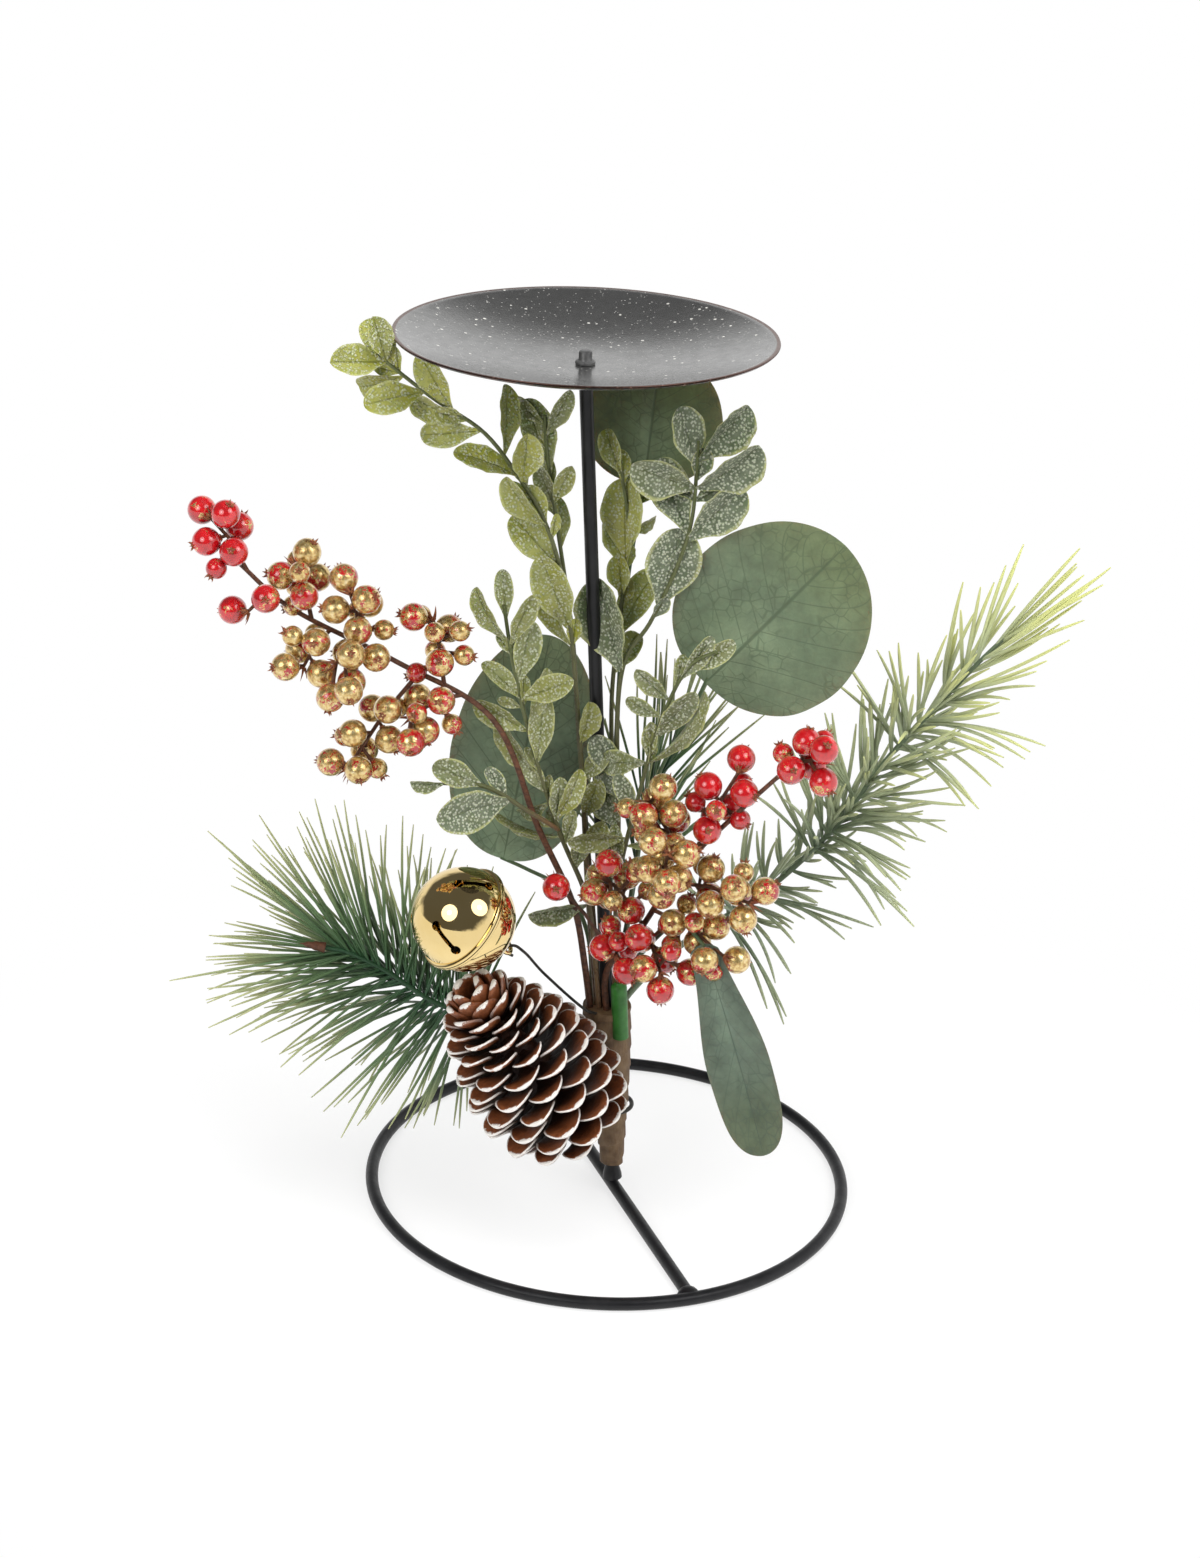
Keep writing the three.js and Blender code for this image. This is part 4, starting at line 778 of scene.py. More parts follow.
ROUTES = {
    "berry_stem_right": [*inner(-90, INNER_BRANCH_SLOT), (0.5, -6, 14), (11.8, -19.3, 36),
        (24.5, -29.3, 61), (42, -37.3, 84), (54, -39.3, 97)],
    "berry_stem_left": [*outer(-160, OUTER_BRANCH_SLOT), (-6.2, -5, 16), (-8.7, -9.5, 38),
        (-18.2, -13.3, 65), (-30.7, -17.3, 102), (-57.6, -19.3, 119), (-88.5, -19.3, 135),
        (-101, -19.3, 147)],
    "leaf_spray_top": [*inner(180), (-4.6, -1.5, 40), (-5.2, -4, 90), (-8, -7, 139), (-12.8, -9.3, 160),
        (-19.8, -11.3, 174), (-29, -12.3, 187), (-43.3, -13.3, 197), (-58.4, -13.3, 209)],
    "leaf_spray_centre": [*inner(135), (-3.8, 3.5, 40), (-5.8, 2, 90), (-6.5, -0.5, 123),
        (-9.5, -1, 154), (-11.8, -2, 178), (-12, -2, 190)],
    "leaf_spray_back": [*inner(45), (4, 4.5, 40), (4.4, 6.7, 100), (8.3, 7.7, 131), (10.9, 7.7, 156),
        (8.3, 7.7, 176)],
    "leaf_spray_right": [*inner(0), (4.6, -1, 30), (5.4, -2, 60), (8.6, -3.3, 115), (17.2, -5.3, 130),
        (29, -7.3, 159), (32, -7.3, 186)],
    "leaf_spray_left": [*inner(-135), (-3, -4.8, 18), (-4.5, -7.5, 39), (-12.3, -11.3, 64),
        (-19.2, -15.3, 94), (-23.5, -17.3, 120), (-25.3, -17.3, 137)],
    "leaf_spray_low": [*inner(-45), (3.5, -4.4, 20), (5, -6, 45), (12.7, -13.3, 79), (19.4, -17.3, 103),
        (28.7, -19.3, 122), (36, -21.3, 127)],
    "round_leaf_right": [*outer(8), (7.6, 1.6, 30), (16.5, -1.5, 75), (28.2, -2.3, 100),
        (33.5, -3.3, 112)],
    "round_leaf_back": [*inner(90), (2, 7, 35), (3.8, 10.7, 65), (9, 19, 127), (16, 24, 165)],
    "round_leaf_left": [*outer(150), (-5.6, 6, 22), (-12, 9.5, 34), (-24, 11.5, 40), (-32, 12.7, 43)],
    "strap_leaf": [(*PICK_AT, 5), (*PICK_AT, 12), (11, -15.3, 25), (24.4, -31.3, 44),
        (31.1, -37.3, 40)],
    "pine_sprig_left": [*bound(INNER_BRANCH_SLOT, 180, -38, -27), (-8, -2.5, -16), (-27, -5.3, -6),
        (-51.5, -7.3, 1), (-68, -7.3, 12), (-80, -7.3, 18), (-86, -7.3, 19)],
    "pine_sprig_right": [*outer(34, OUTER_BRANCH_SLOT), (11, 8, 5), (26.6, 12.7, 18), (48.6, 14.7, 33),
        (71, 16.7, 55), (88.9, 16.7, 81), (104, 16.7, 99), (116, 15.1, 114), (123, 14.3, 122)],
    "pine_sprig_back": [*outer(68), (5, 10, 14), (8.4, 14.7, 30), (14.7, 16.7, 63), (22, 18.2, 78)],
}
LINES = {name: smooth_line([at(*point) for point in route]) for name, route in ROUTES.items()}


def stem(name, radius):
    return Skin().tube(LINES[name], tapering(radius), sides=10, steps=90, tint=STEM_TINT)


# Binding

TAPE_STEPS = 150
TAPE_SIDES = 64
TAPE_FOLD = 0.45 * MM
TAPE_CREASE = 0.03 * MM


def tape_radius(height):
    share = clamp((height - TAPE_BOTTOM) / (TAPE_TOP - TAPE_BOTTOM))
    return TAPE_FOOT_RADIUS + (TAPE_TOP_RADIUS - TAPE_FOOT_RADIUS) * math.sin(share * math.pi / 2) ** 1.2


def add_tape():
    """Tape wound upwards: each turn stands a little proud of the one below, and wrinkles."""
    rng = random.Random(11)
    waves = [(rng.randint(2, 9), rng.uniform(200, 700), rng.uniform(0, 6.28)) for _ in range(8)]
    rings = []
    for k in range(TAPE_STEPS + 1):
        height = TAPE_BOTTOM + (TAPE_TOP - TAPE_BOTTOM) * k / TAPE_STEPS
        ring = []
        for i, angle in enumerate(turns(TAPE_SIDES)):
            turn = (height / TAPE_PITCH - i / TAPE_SIDES) % 1
            fold = TAPE_FOLD * (1 - turn) * smooth_step(1.0, 0.93, turn)
            crease = sum(math.sin(n * angle + f * height + p) for n, f, p in waves) * TAPE_CREASE
            radius = tape_radius(height) - CLEARANCE + fold + crease
            ring.append(rod_axis(height) + on_circle(radius, angle, 0))
        rings.append(ring)
    Skin().loft(rings).make("tape", TAPE, "tape", "stem_tape")


def add_pick():
    def radius(share):
        return PICK_RADIUS * (1 - 0.5 * smooth_step(0.9, 1.0, share) ** 2)

    pick = Skin().tube(Line([at(*PICK_AT, up) for up in (-8, -2, 4, 9, 11)]), radius, sides=24, steps=60)
    pick.make("green_pick", GREEN, "pick", "pick_stem")


# Pine cone

CONE_BASE = at(-7.7, -20.9, -33.5)
CONE_AXIS = (at(-41.2, -33.5, 21.9) - CONE_BASE).normalized()
CONE_TURN = UP.rotation_difference(CONE_AXIS)
CONE_WIDEST = 0.3
CORE_ROWS = 12
SCALE_SHOULDER = 0.66
SCALE_SIDES = 20
SCALE_CURL = math.radians(-26)
SCALE_LEAN = 106
SCALE_RISE = 60
TIP_RISE = 30


def in_cone(place):
    return CONE_BASE + CONE_TURN @ place


def cone_radius(share):
    if share < CONE_WIDEST:
        return CONE_RADIUS * (1 - 0.35 * (1 - share / CONE_WIDEST) ** 2)
    return CONE_RADIUS * (1 - 0.72 * ((share - CONE_WIDEST) / (1 - CONE_WIDEST)) ** 1.9)


def core_radius(share):
    return CONE_CORE_RADIUS * (0.45 + 0.55 * math.sin(math.pi * min(1, share + 0.15)))


def scale_half_width(share):
    """A narrow claw that widens to a round-ended plate."""
    grown = 0.25 + 0.75 * smooth_step(0.1, SCALE_SHOULDER, share)
    closing = max(share - SCALE_SHOULDER, 0) / (1 - SCALE_SHOULDER)
    return grown * max(math.sqrt(max(1 - closing ** 2, 0.0)), 0.04)


def scale_stations(low=7, high=11):
    """Shares along a scale: even to its shoulder, then closer and closer round its end."""
    plain = [SCALE_SHOULDER * k / low for k in range(low)]
    rounded = [math.sin(math.pi / 2 * k / high) for k in range(high + 1)]
    return plain + [SCALE_SHOULDER + (1 - SCALE_SHOULDER) * share for share in rounded]


def add_scale(skin, index, rng):
    """A scale on the spiral: it leans out, curls up, and closes over the tip of the cone."""
    share = 0.01 + 0.965 * ((index + 0.5) / CONE_SCALES) ** 0.92
    closed = smooth_step(0.78, 0.97, share)
    lean = math.radians(SCALE_LEAN - SCALE_RISE * share ** 1.9 - TIP_RISE * closed + rng.uniform(-4, 4))
    outward = turn_about(UP, index * GOLDEN_ANGLE, Vector((1, 0, 0)))
    root = max(core_radius(share) - 2 * MM, 1 * MM)
    fullness = cone_radius(share) / CONE_RADIUS
    length = (cone_radius(share) - root) / max(math.sin(lean), 0.6 - 0.1 * closed) * rng.uniform(0.97, 1.03)
    along = UP * math.cos(lean) + outward * math.sin(lean)
    facing = UP * math.sin(lean) - outward * math.cos(lean)
    side = along.cross(facing)
    base = outward * root + UP * (share * CONE_LENGTH - length * math.cos(lean) * (0.6 + 0.25 * closed))
    half = SCALE_WIDTH / 2 * (0.45 + 0.55 * fullness) * rng.uniform(0.94, 1.06)
    thick = SCALE_THICKNESS * (0.6 + 0.4 * fullness) * (1 + 0.8 * closed)
    stations = scale_stations()
    rings = []
    for s, middle, normal in midrib(base, along, facing, length, lambda s: SCALE_CURL * s ** 1.5, stations):
        shape = scale_half_width(s)
        deep = thick / 2 * (0.5 + 0.5 * smooth_step(0.3, 0.7, s)) * min(1, 0.35 + 1.3 * shape)
        ring = []
        for a in turns(SCALE_SIDES):
            across = math.cos(a)
            body = deep * math.copysign(abs(math.sin(a)) ** 0.7, math.sin(a))
            rise = body + half * 0.34 * (across * shape) ** 2 * smooth_step(0.2, 0.7, s)
            ring.append(in_cone(middle + side * (half * shape) * across + normal * rise))
        rings.append(ring)
    skin.loft(rings, along=stations, across=[math.cos(a) for a in turns(SCALE_SIDES)], tint=share)


def add_cone():
    rng = random.Random(5)
    skin = Skin()
    profile = [(POINT_RADIUS, 0)]
    for k in range(CORE_ROWS + 1):
        share = k / CORE_ROWS
        radius = core_radius(share) * 0.98 * (1 - 0.6 * share ** 4)
        profile.append((radius, CONE_LENGTH * 0.88 * k / CORE_ROWS))
    profile.append((POINT_RADIUS, CONE_LENGTH * 0.9))
    # The core's along mark of 0.3 puts it in the darkest part of the scales' painted shade.
    skin.turned(profile, segments=32, place=lambda *place: in_cone(on_circle(*place)),
                along=[0.3] * len(profile), tint=0.0)
    for index in range(CONE_SCALES):
        add_scale(skin, index, rng)
    skin.make("cone", CONE, "cone", "pine_cone")


def add_cone_wire():
    """A ring of wire round the tape, and a wire from it into the cone."""
    centre = rod_axis(CONE_WIRE_HEIGHT)
    reach = tape_radius(CONE_WIRE_HEIGHT) + CLEARANCE + CONE_WIRE_RADIUS + CLEARANCE
    skin = Skin().hoop(reach, CONE_WIRE_RADIUS, centre, sides=10, segments=60)
    inside = CONE_BASE + CONE_AXIS * 6 * MM
    heading = inside - centre
    heading.z = 0
    start = centre + heading.normalized() * reach
    line = smooth_line([start, CONE_BASE - CONE_AXIS * MM, inside])
    skin.tube(line, even(CONE_WIRE_RADIUS), sides=10, steps=30)
    skin.make("cone_tie", WIRE, "wire", "cone_wire")


# Jingle bell

BELL_CENTRE = at(-40.3, -35.2, 44.3)
BELL_FACING = Vector((-0.7, -0.34, 0.63)).normalized()
BELL_SIDE = flatten(Vector((0.12, -0.92, -0.37)), BELL_FACING)
BELL_FRAME = Matrix((BELL_SIDE, BELL_FACING.cross(BELL_SIDE), BELL_FACING)).transposed()
LOOP_CENTRE = -(BELL_RADIUS + LOOP_RADIUS * 0.6)
EYE = LOOP_CENTRE - (LOOP_RADIUS - LOOP_WIRE_RADIUS - THIN_WIRE_RADIUS - CLEARANCE)
HOOK_REACH = LOOP_WIRE_RADIUS + THIN_WIRE_RADIUS + CLEARANCE + 0.4 * MM
SHELL_STEPS = 22
SLITS = 4
SLIT_ENDS = (math.radians(74), math.radians(40))
HOLE_STEPS = 16
LOOP_END = 58
LOOP_STEPS = 40


def in_bell(x, y, z):
    return BELL_CENTRE + BELL_FRAME @ Vector((x, y, z))


def shell_arc(radius, low):
    start = math.asin(low / radius)
    angles = [start + (math.pi / 2 - start) * k / SHELL_STEPS for k in range(SHELL_STEPS + 1)]
    return [(max(radius * math.cos(a), POINT_RADIUS), radius * math.sin(a)) for a in angles]


def shell_profile(hand):
    """One half shell with its crimped rim, its pole towards the given side."""
    seam = CLEARANCE / 2
    outside = shell_arc(BELL_RADIUS, BELL_RIM + seam)
    inside = shell_arc(BELL_RADIUS - BELL_WALL, seam)
    edge = BELL_RADIUS + BELL_RIM
    rim = [(BELL_RADIUS + 0.2 * MM, BELL_RIM + seam - 0.1 * MM), (edge - 0.15 * MM, BELL_RIM * 0.85 + seam),
           (edge, BELL_RIM * 0.5 + seam), (edge - 0.1 * MM, seam)]
    return [(r, hand * z) for r, z in [*reversed(outside), *rim, *inside]]


def slit_cutter(turn):
    """A slit with a round hole at each end, drawn on the ball and pushed through the wall."""
    hole = BELL_HOLE_RADIUS
    waist = math.asin(BELL_SLIT_WIDTH / 2 / hole)
    outline = []
    for end, first in zip(SLIT_ENDS, (waist, math.pi + waist)):
        for k in range(HOLE_STEPS + 1):
            a = first + (2 * math.pi - 2 * waist) * k / HOLE_STEPS
            outline.append((end - math.cos(a) * hole / BELL_RADIUS, math.sin(a) * hole))
    rings = []
    for radius in (BELL_RADIUS - 2.5 * BELL_WALL, BELL_RADIUS + 2 * BELL_WALL):
        ring = []
        for polar, offset in outline:
            flat = Vector((math.sin(polar) * radius, offset, math.cos(polar) * radius))
            ring.append(in_bell(*turn_about(UP, turn, flat)))
        rings.append(ring)
    return rings


def cut(piece, rings):
    """Takes a lofted form out of a piece."""
    mesh = Skin().loft(rings).mesh("cutter")
    with opened(mesh) as shaped:
        bmesh.ops.triangulate(shaped, faces=shaped.faces)
        bmesh.ops.recalc_face_normals(shaped, faces=shaped.faces)
    cutter = put("cutter", mesh)
    modifier = piece.modifiers.new("cut", "BOOLEAN")
    modifier.object, modifier.operation, modifier.solver = cutter, "DIFFERENCE", "EXACT"
    graph = bpy.context.evaluated_depsgraph_get()
    piece.data = bpy.data.meshes.new_from_object(piece.evaluated_get(graph))
    piece.modifiers.clear()
    bpy.data.objects.remove(cutter)


def add_bell():
    """The two shells, the front one with its slits, the shank and the loose pellet."""
    for hand, name, node in ((1, "bell_front", "bell_front_shell"), (-1, "bell_rear", "bell_rear_shell")):
        shell = Skin().turned(shell_profile(hand), segments=96,
                              place=lambda *place: in_bell(*on_circle(*place)))
        piece = shell.make(name, GOLD, "gold", node, body="bell")
        if hand == 1:
            for k in range(SLITS):
                cut(piece, slit_cutter(k * math.pi / 2))
            piece.data.set_sharp_from_angle(angle=SHARP_ANGLE)
    line = []
    for k in range(LOOP_STEPS + 1):
        a = math.radians(-LOOP_END + (180 + 2 * LOOP_END) * k / LOOP_STEPS)
        line.append(in_bell(LOOP_RADIUS * math.cos(a), 0, LOOP_CENTRE - LOOP_RADIUS * math.sin(a)))
    loop = Skin().tube(Line(line), even(LOOP_WIRE_RADIUS), sides=14, steps=60)
    loop.make("bell_shank", GOLD, "gold", "bell_loop", body="bell")
    pellet = Skin()
    drop = (BELL_RADIUS - BELL_WALL - PELLET_RADIUS - CLEARANCE) * 0.97
    add_ball(pellet, BELL_CENTRE - UP * drop, UP, PELLET_RADIUS, 0.5)
    pellet.make("pellet", WIRE, "wire", "bell_pellet", body="pellet")


def add_bell_wire():
    """A wire from the tape to the bell, hooked through its shank."""
    hook = [(HOOK_REACH, EYE - 5 * MM), (HOOK_REACH, EYE - 1.2 * MM), (0, EYE),
            (-HOOK_REACH, EYE - 1.2 * MM), (-HOOK_REACH * 0.9, EYE - 4 * MM)]
    route = [at(*point) for point in (*outer(-112), (-6.5, -9.8, 3), (-18, -15, 17))]
    line = smooth_line([*route, *(in_bell(0, y, z) for y, z in hook)])
    skin = Skin().tube(line, even(THIN_WIRE_RADIUS), sides=10, steps=160)
    skin.make("bell_tie", WIRE, "wire", "bell_wire")


# Berries

# A twig is (station, tip, count, gold): the share of its stem where it grows, its tip, its full berries and
# how much gold they have.
FIRST_BERRY = 0.3
LAST_BERRY = 0.96
BERRY_TWIGS = {
    "left": [
        (0.985, (-108, -21, 161), 5, 0.1),
        (0.93, (-99, -24, 134), 2, 0.3),
        (0.87, (-85, -15, 146), 4, 0.8),
        (0.79, (-69, -24, 141), 5, 0.9),
        (0.66, (-46, -18, 132), 3, 0.7),
        (0.84, (-84, -25, 118), 4, 0.85),
        (0.75, (-74, -31, 122), 6, 0.9),
        (0.7, (-73, -26, 87), 7, 0.95),
        (0.63, (-54, -24, 103), 4, 0.7),
    ],
    "right": [
        (0.985, (65, -41, 103), 5, 0.12),
        (0.66, (15, -33, 84), 7, 0.85),
        (0.7, (42, -34, 95), 5, 0.15),
        (0.44, (0, -25, 57), 4, 0.6),
        (0.54, (21, -47, 74), 7, 0.95),
        (0.6, (45, -43, 57), 7, 0.88),
        (0.5, (37, -40, 38), 5, 0.8),
        (0.4, (4, -30, 32), 3, 0.4),
        (0.43, (18, -39, 31), 5, 0.45),
        (0.28, (-14, -18, 50), 1, 0.0),
    ],
}
YOUNG_BERRIES = 7
YOUNG_RADIUS = 3.1 * MM
YOUNG_TRIES = 24
TRIES_PER_REACH = 16
BALL_ROWS = 16
BALL_SIDES = 24
berry_places = []


def free_berry_place(point, heading, count):
    """The first free place on a spiral round the twig, which widens after every few tries."""
    first = flatten(Vector((0, -1, 0.3)), heading)
    reach = BERRY_RADIUS + TWIG_RADIUS + PEDICEL_LENGTH
    attempt = 0
    while True:
        if attempt > 0 and attempt % TRIES_PER_REACH == 0:
            reach += BERRY_RADIUS / 2
        out = turn_about(heading, (count + attempt) * GOLDEN_ANGLE, first)
        place = point + (out + heading * 0.5).normalized() * reach
        if all((other - place).length > 2 * BERRY_RADIUS + CLEARANCE for other in berry_places):
            return place
        attempt += 1


def young_berry_place(point, heading, rng):
    """A free place for a small berry close to the twig, or nothing where the full ones leave no room."""
    first = heading.orthogonal().normalized()
    for _ in range(YOUNG_TRIES):
        out = turn_about(heading, rng.uniform(0, 2 * math.pi), first) + heading * rng.uniform(-0.4, 0.6)
        place = point + out.normalized() * (YOUNG_RADIUS + rng.uniform(1.5, 5.5) * MM)
        if all((other - place).length > BERRY_RADIUS + YOUNG_RADIUS for other in berry_places):
            return place
    return None


def add_ball(skin, centre, axis, radius, tint):
    """A ball, its poles on the given axis."""
    normal = axis.orthogonal().normalized()
    side = axis.cross(normal)
    rings = []
    for k in range(BALL_ROWS + 1):
        polar = math.pi * (0.02 + 0.96 * k / BALL_ROWS)
        middle = centre - axis * radius * math.cos(polar)
        rings.append(circle(middle, normal, side, radius * math.sin(polar), BALL_SIDES))
    skin.loft(rings, tint=tint)


def add_points(skin, foot, axis, rng, count, low, high):
    """Dry bracts that stand round an axis like a star, each a tapering point."""
    normal = axis.orthogonal().normalized()
    for angle in turns(count):
        out = turn_about(axis, angle + rng.uniform(-0.3, 0.3), normal)
        start = foot + out * 0.5 * MM
        tip = start + (axis + out * rng.uniform(0.4, 1.2)).normalized() * rng.uniform(low, high) * MM
        bow = start.lerp(tip, 0.5) + out * 0.25 * MM
        skin.tube(Line([start, bow, tip]), tapering(0.5 * MM, 0.95), sides=5, steps=5, tint=1.0)


def berry_rows():
    """The twigs with their lines, and the foot and the place of each full berry."""
    rows = []
    for hand, twigs in BERRY_TWIGS.items():
        stem = LINES[f"berry_stem_{hand}"]
        for number, (start, tip, count, gold) in enumerate(twigs, 1):
            root, end = stem.place(start), at(*tip)
            line = Line([root, root.lerp(end, 0.5) + UP * 2 * MM, end])
            grown = []
            for k in range(count):
                grow = k / (count - 1) if count > 1 else 1
                share = FIRST_BERRY + (LAST_BERRY - FIRST_BERRY) * grow
                point = line.place(share)
                place = free_berry_place(point, line.heading(share), k)
                berry_places.append(place)
                grown.append((point, place, BERRY_RADIUS))
            rows.append((f"{hand}_{number}", line, grown, gold))
    return rows


def add_berry(twig, berries, foot, place, radius, gold, rng):
    """A berry on its stalk, with bracts at its foot and a crown."""
    axis = (place - foot).normalized()
    near = place - axis * radius * 0.9
    stalk = Line([foot, foot.lerp(near, 0.5), near])
    twig.tube(stalk, lambda share: 0.5 * MM + 0.25 * MM * share ** 3, sides=7, steps=8)
    add_ball(berries, place, axis, radius, clamp(gold + rng.uniform(-0.22, 0.22)))
    add_points(twig, place - axis * radius * 1.02, axis, rng, count=4, low=1.2, high=2.6)
    add_points(twig, place + axis * radius * 0.96, axis, rng, count=5, low=0.9, high=1.8)


def add_berries():
    rng = random.Random(21)
    for hand in BERRY_TWIGS:
        node = f"berry_stem_{hand}"
        branch = Skin().tube(LINES[node], tapering(BRANCH_RADIUS), sides=12, steps=120)
        branch.make(f"berry_branch_{hand}", BARK, "bark", node)
    for name, line, grown, gold in berry_rows():
        twig, berries = Skin().tube(line, tapering(TWIG_RADIUS, 0.3), sides=8, steps=20), Skin()
        add_points(twig, line.place(1), line.heading(1), rng, count=5, low=2.5, high=5.0)
        for k in range(YOUNG_BERRIES if len(grown) > 2 else 0):
            foot = line.place(0.35 + 0.6 * k / YOUNG_BERRIES)
            place = young_berry_place(foot, line.heading(0.5), rng)
            if place:
                berry_places.append(place)
                grown.append((foot, place, YOUNG_RADIUS))
        for foot, place, radius in grown:
            add_berry(twig, berries, foot, place, radius, gold, rng)
        twig.make(f"twig_{name}", BARK, "bark", f"berry_twig_{name}")
        berries.make(f"berries_{name}", BERRY, "berry", f"berry_twig_{name}")


# Leaves

def add_blade(skin, spec, tint, rng, rows, columns):
    """A thin leaf along a bent midrib, cupped, creased at the rib and a little wavy at its edges."""
    along = spec["along"].normalized()
    facing = flatten(spec["facing"], along)
    side = along.cross(facing)
    top = [-1 + 2 * i / (columns - 1) for i in range(columns)]
    across = [*top, *reversed(top[1:-1])]
    phase, ripples = rng.uniform(0, 6.28), rng.randint(2, 4)
    stations = [(1 - math.cos(math.pi * k / rows)) / 2 for k in range(rows + 1)]
    rib = midrib(spec["base"], along, facing, spec["length"], lambda share: spec["bend"] * share, stations)
    rings = []
    for share, middle, normal in rib:
        half = spec["width"] / 2 * max(spec["outline"](share), 0.015)
        ring = []
        for i, a in enumerate(across):
            groove = spec["crease"] * math.exp(-(a / 0.12) ** 2) * math.sin(math.pi * share)
            rise = half * spec["cup"] * abs(a) ** spec["fold"] - groove
            ripple = math.sin(ripples * 2 * math.pi * share + phase + (a > 0))
            rise += spec["wave"] * half * abs(a) ** 3 * ripple
            body = spec["thickness"] / 2 * math.sqrt(max(1 - a * a, 0.0))
            rise += body if i < columns else -body
            ring.append(middle + side * half * a + normal * rise)
        rings.append(ring)
    skin.loft(rings, along=stations, across=across, tint=tint)


def egg(share, power):
    return math.sqrt(max(0.0, 1 - (2 * share ** power - 1) ** 2))


def oval(share):
    return egg(share, 0.92)


def small_oval(share):
    """Round at its tip, narrow at its foot."""
    return egg(share, 1.3) * (0.55 + 0.45 * smooth_step(0.1, 0.5, share))


def strap(share):
    """Narrow at its foot, widest past the middle, blunt at its end."""
    foot = min(1, (share / 0.03) ** 0.5)
    return foot * (0.45 + 0.55 * smooth_step(0, 0.6, share)) * math.sqrt(max(0.0, 1 - share ** 9))


# A large leaf is (tip, facing, length, width, bend, cup, outline, tint, name), with its stem's last share.
# The tint sets the leaf's painted light and shade.
STEM_END = 0.985
LARGE_LEAVES = {
    "round_leaf_right": ((70.7, -9.3, 152), (-0.1, -1, 0.1), 59, 57, 0.25, 0.12, oval, 0.7,
                         "disc_leaf_right"),
    "round_leaf_back": ((22, 32, 204), (0.1, -1, 0.25), 40, 42, 0.15, 0.1, oval, 0.0, "disc_leaf_back"),
    "round_leaf_left": ((-16, 18.7, 112), (-0.2, -1, 0.2), 72, 45, 0.2, 0.15, oval, 0.35, "disc_leaf_left"),
    "strap_leaf": ((49.5, -42.3, -24), (-0.2, -1, 0.1), 68, 20, -0.25, 0.12, strap, 0.7, "drooping_leaf"),
}


def add_large_leaves():
    rng = random.Random(3)
    for node, (tip, facing, length, width, bend, cup, outline, tint, name) in LARGE_LEAVES.items():
        base = LINES[node].place(STEM_END)
        spec = {"base": base, "along": at(*tip) - base, "facing": Vector(facing), "length": length * MM,
                "width": width * MM, "bend": bend, "cup": cup, "outline": outline, "thickness": 0.7 * MM,
                "crease": 0.6 * MM, "wave": 0.02, "fold": 2}
        skin = stem(node, STEM_RADIUS)
        add_blade(skin, spec, tint, rng, rows=48, columns=33)
        skin.make(name, STRAP_LEAF if node == "strap_leaf" else ROUND_LEAF, "round_leaf", node)


FRONT = Vector((0, -1, 0.35)).normalized()
FORWARD_TILT = math.radians(30)
BACKWARD_TILT = math.radians(-20)

# A small leaf is (station, lean, length, roll): the share of its stem where it grows, its angle from the
# stem to the viewer's right in degrees, its length in millimetres, and its turn about its own midrib. A
# spray's tone runs from 0, white with frost, to 1, yellow olive.
SPRAYS = {
    "leaf_spray_top": (0.85, "spray_top", [
        (0.985, 40, 13, 70), (0.97, 22, 16, 20), (0.985, -45, 16, 30), (0.96, -60, 16, 45),
        (0.93, -52, 17, 15), (0.88, -25, 16, 50), (0.89, 28, 18, 10), (0.85, -46, 17, 40),
        (0.78, -25, 19, 10), (0.81, 42, 19, 65), (0.77, 42, 16, 65), (0.71, 0, 12, 55),
        (0.71, -38, 18, 65), (0.65, -28, 20, 10), (0.57, -18, 24, 45), (0.55, -32, 21, 60)]),
    "leaf_spray_centre": (0.55, "spray_centre", [
        (0.91, -5, 22, 15), (0.985, -50, 12, 55), (0.87, 38, 13, 35), (0.86, -12, 13, 30),
        (0.97, 38, 15, 70), (0.8, 18, 15, 65)]),
    "leaf_spray_back": (0.75, "spray_back", [
        (0.97, -16, 13, 45), (0.81, -15, 18, 40), (0.83, -12, 23, 45), (0.91, 50, 13, 15),
        (0.7, 17, 22, 20), (0.88, 85, 10, 60), (0.77, -14, 12, 35), (0.64, 22, 14, 30)]),
    "leaf_spray_right": (0.1, "spray_right", [
        (0.96, -20, 18, 0), (0.97, 42, 20, 40), (0.93, -80, 20, 60), (0.86, -37, 22, 0),
        (0.93, 68, 22, 70), (0.85, 30, 21, 35), (0.74, -8, 23, 0), (0.62, -28, 27, 50)]),
    "leaf_spray_left": (0.5, "spray_left", [
        (0.93, -47, 18, 65), (0.97, 4, 14, 0), (0.92, 34, 18, 50), (0.84, 25, 18, 60),
        (0.81, -28, 15, 25), (0.74, -47, 17, 20), (0.81, 82, 18, 20), (0.75, 36, 17, 50),
        (0.67, 23, 20, 55), (0.63, -31, 22, 70), (0.6, -16, 13, 40), (0.58, -104, 12, 45),
        (0.53, 27, 15, 50), (0.5, -70, 22, 70), (0.54, 58, 17, 70)]),
    "leaf_spray_low": (0.4, "spray_low", [
        (0.9, 13, 15, 35), (0.92, 28, 16, 50), (0.85, -75, 14, 40), (0.81, -88, 12, 40),
        (0.76, 25, 20, 40), (0.7, 46, 26, 75), (0.71, -12, 11, 30), (0.7, -107, 19, 25),
        (0.51, -104, 18, 55)]),
}
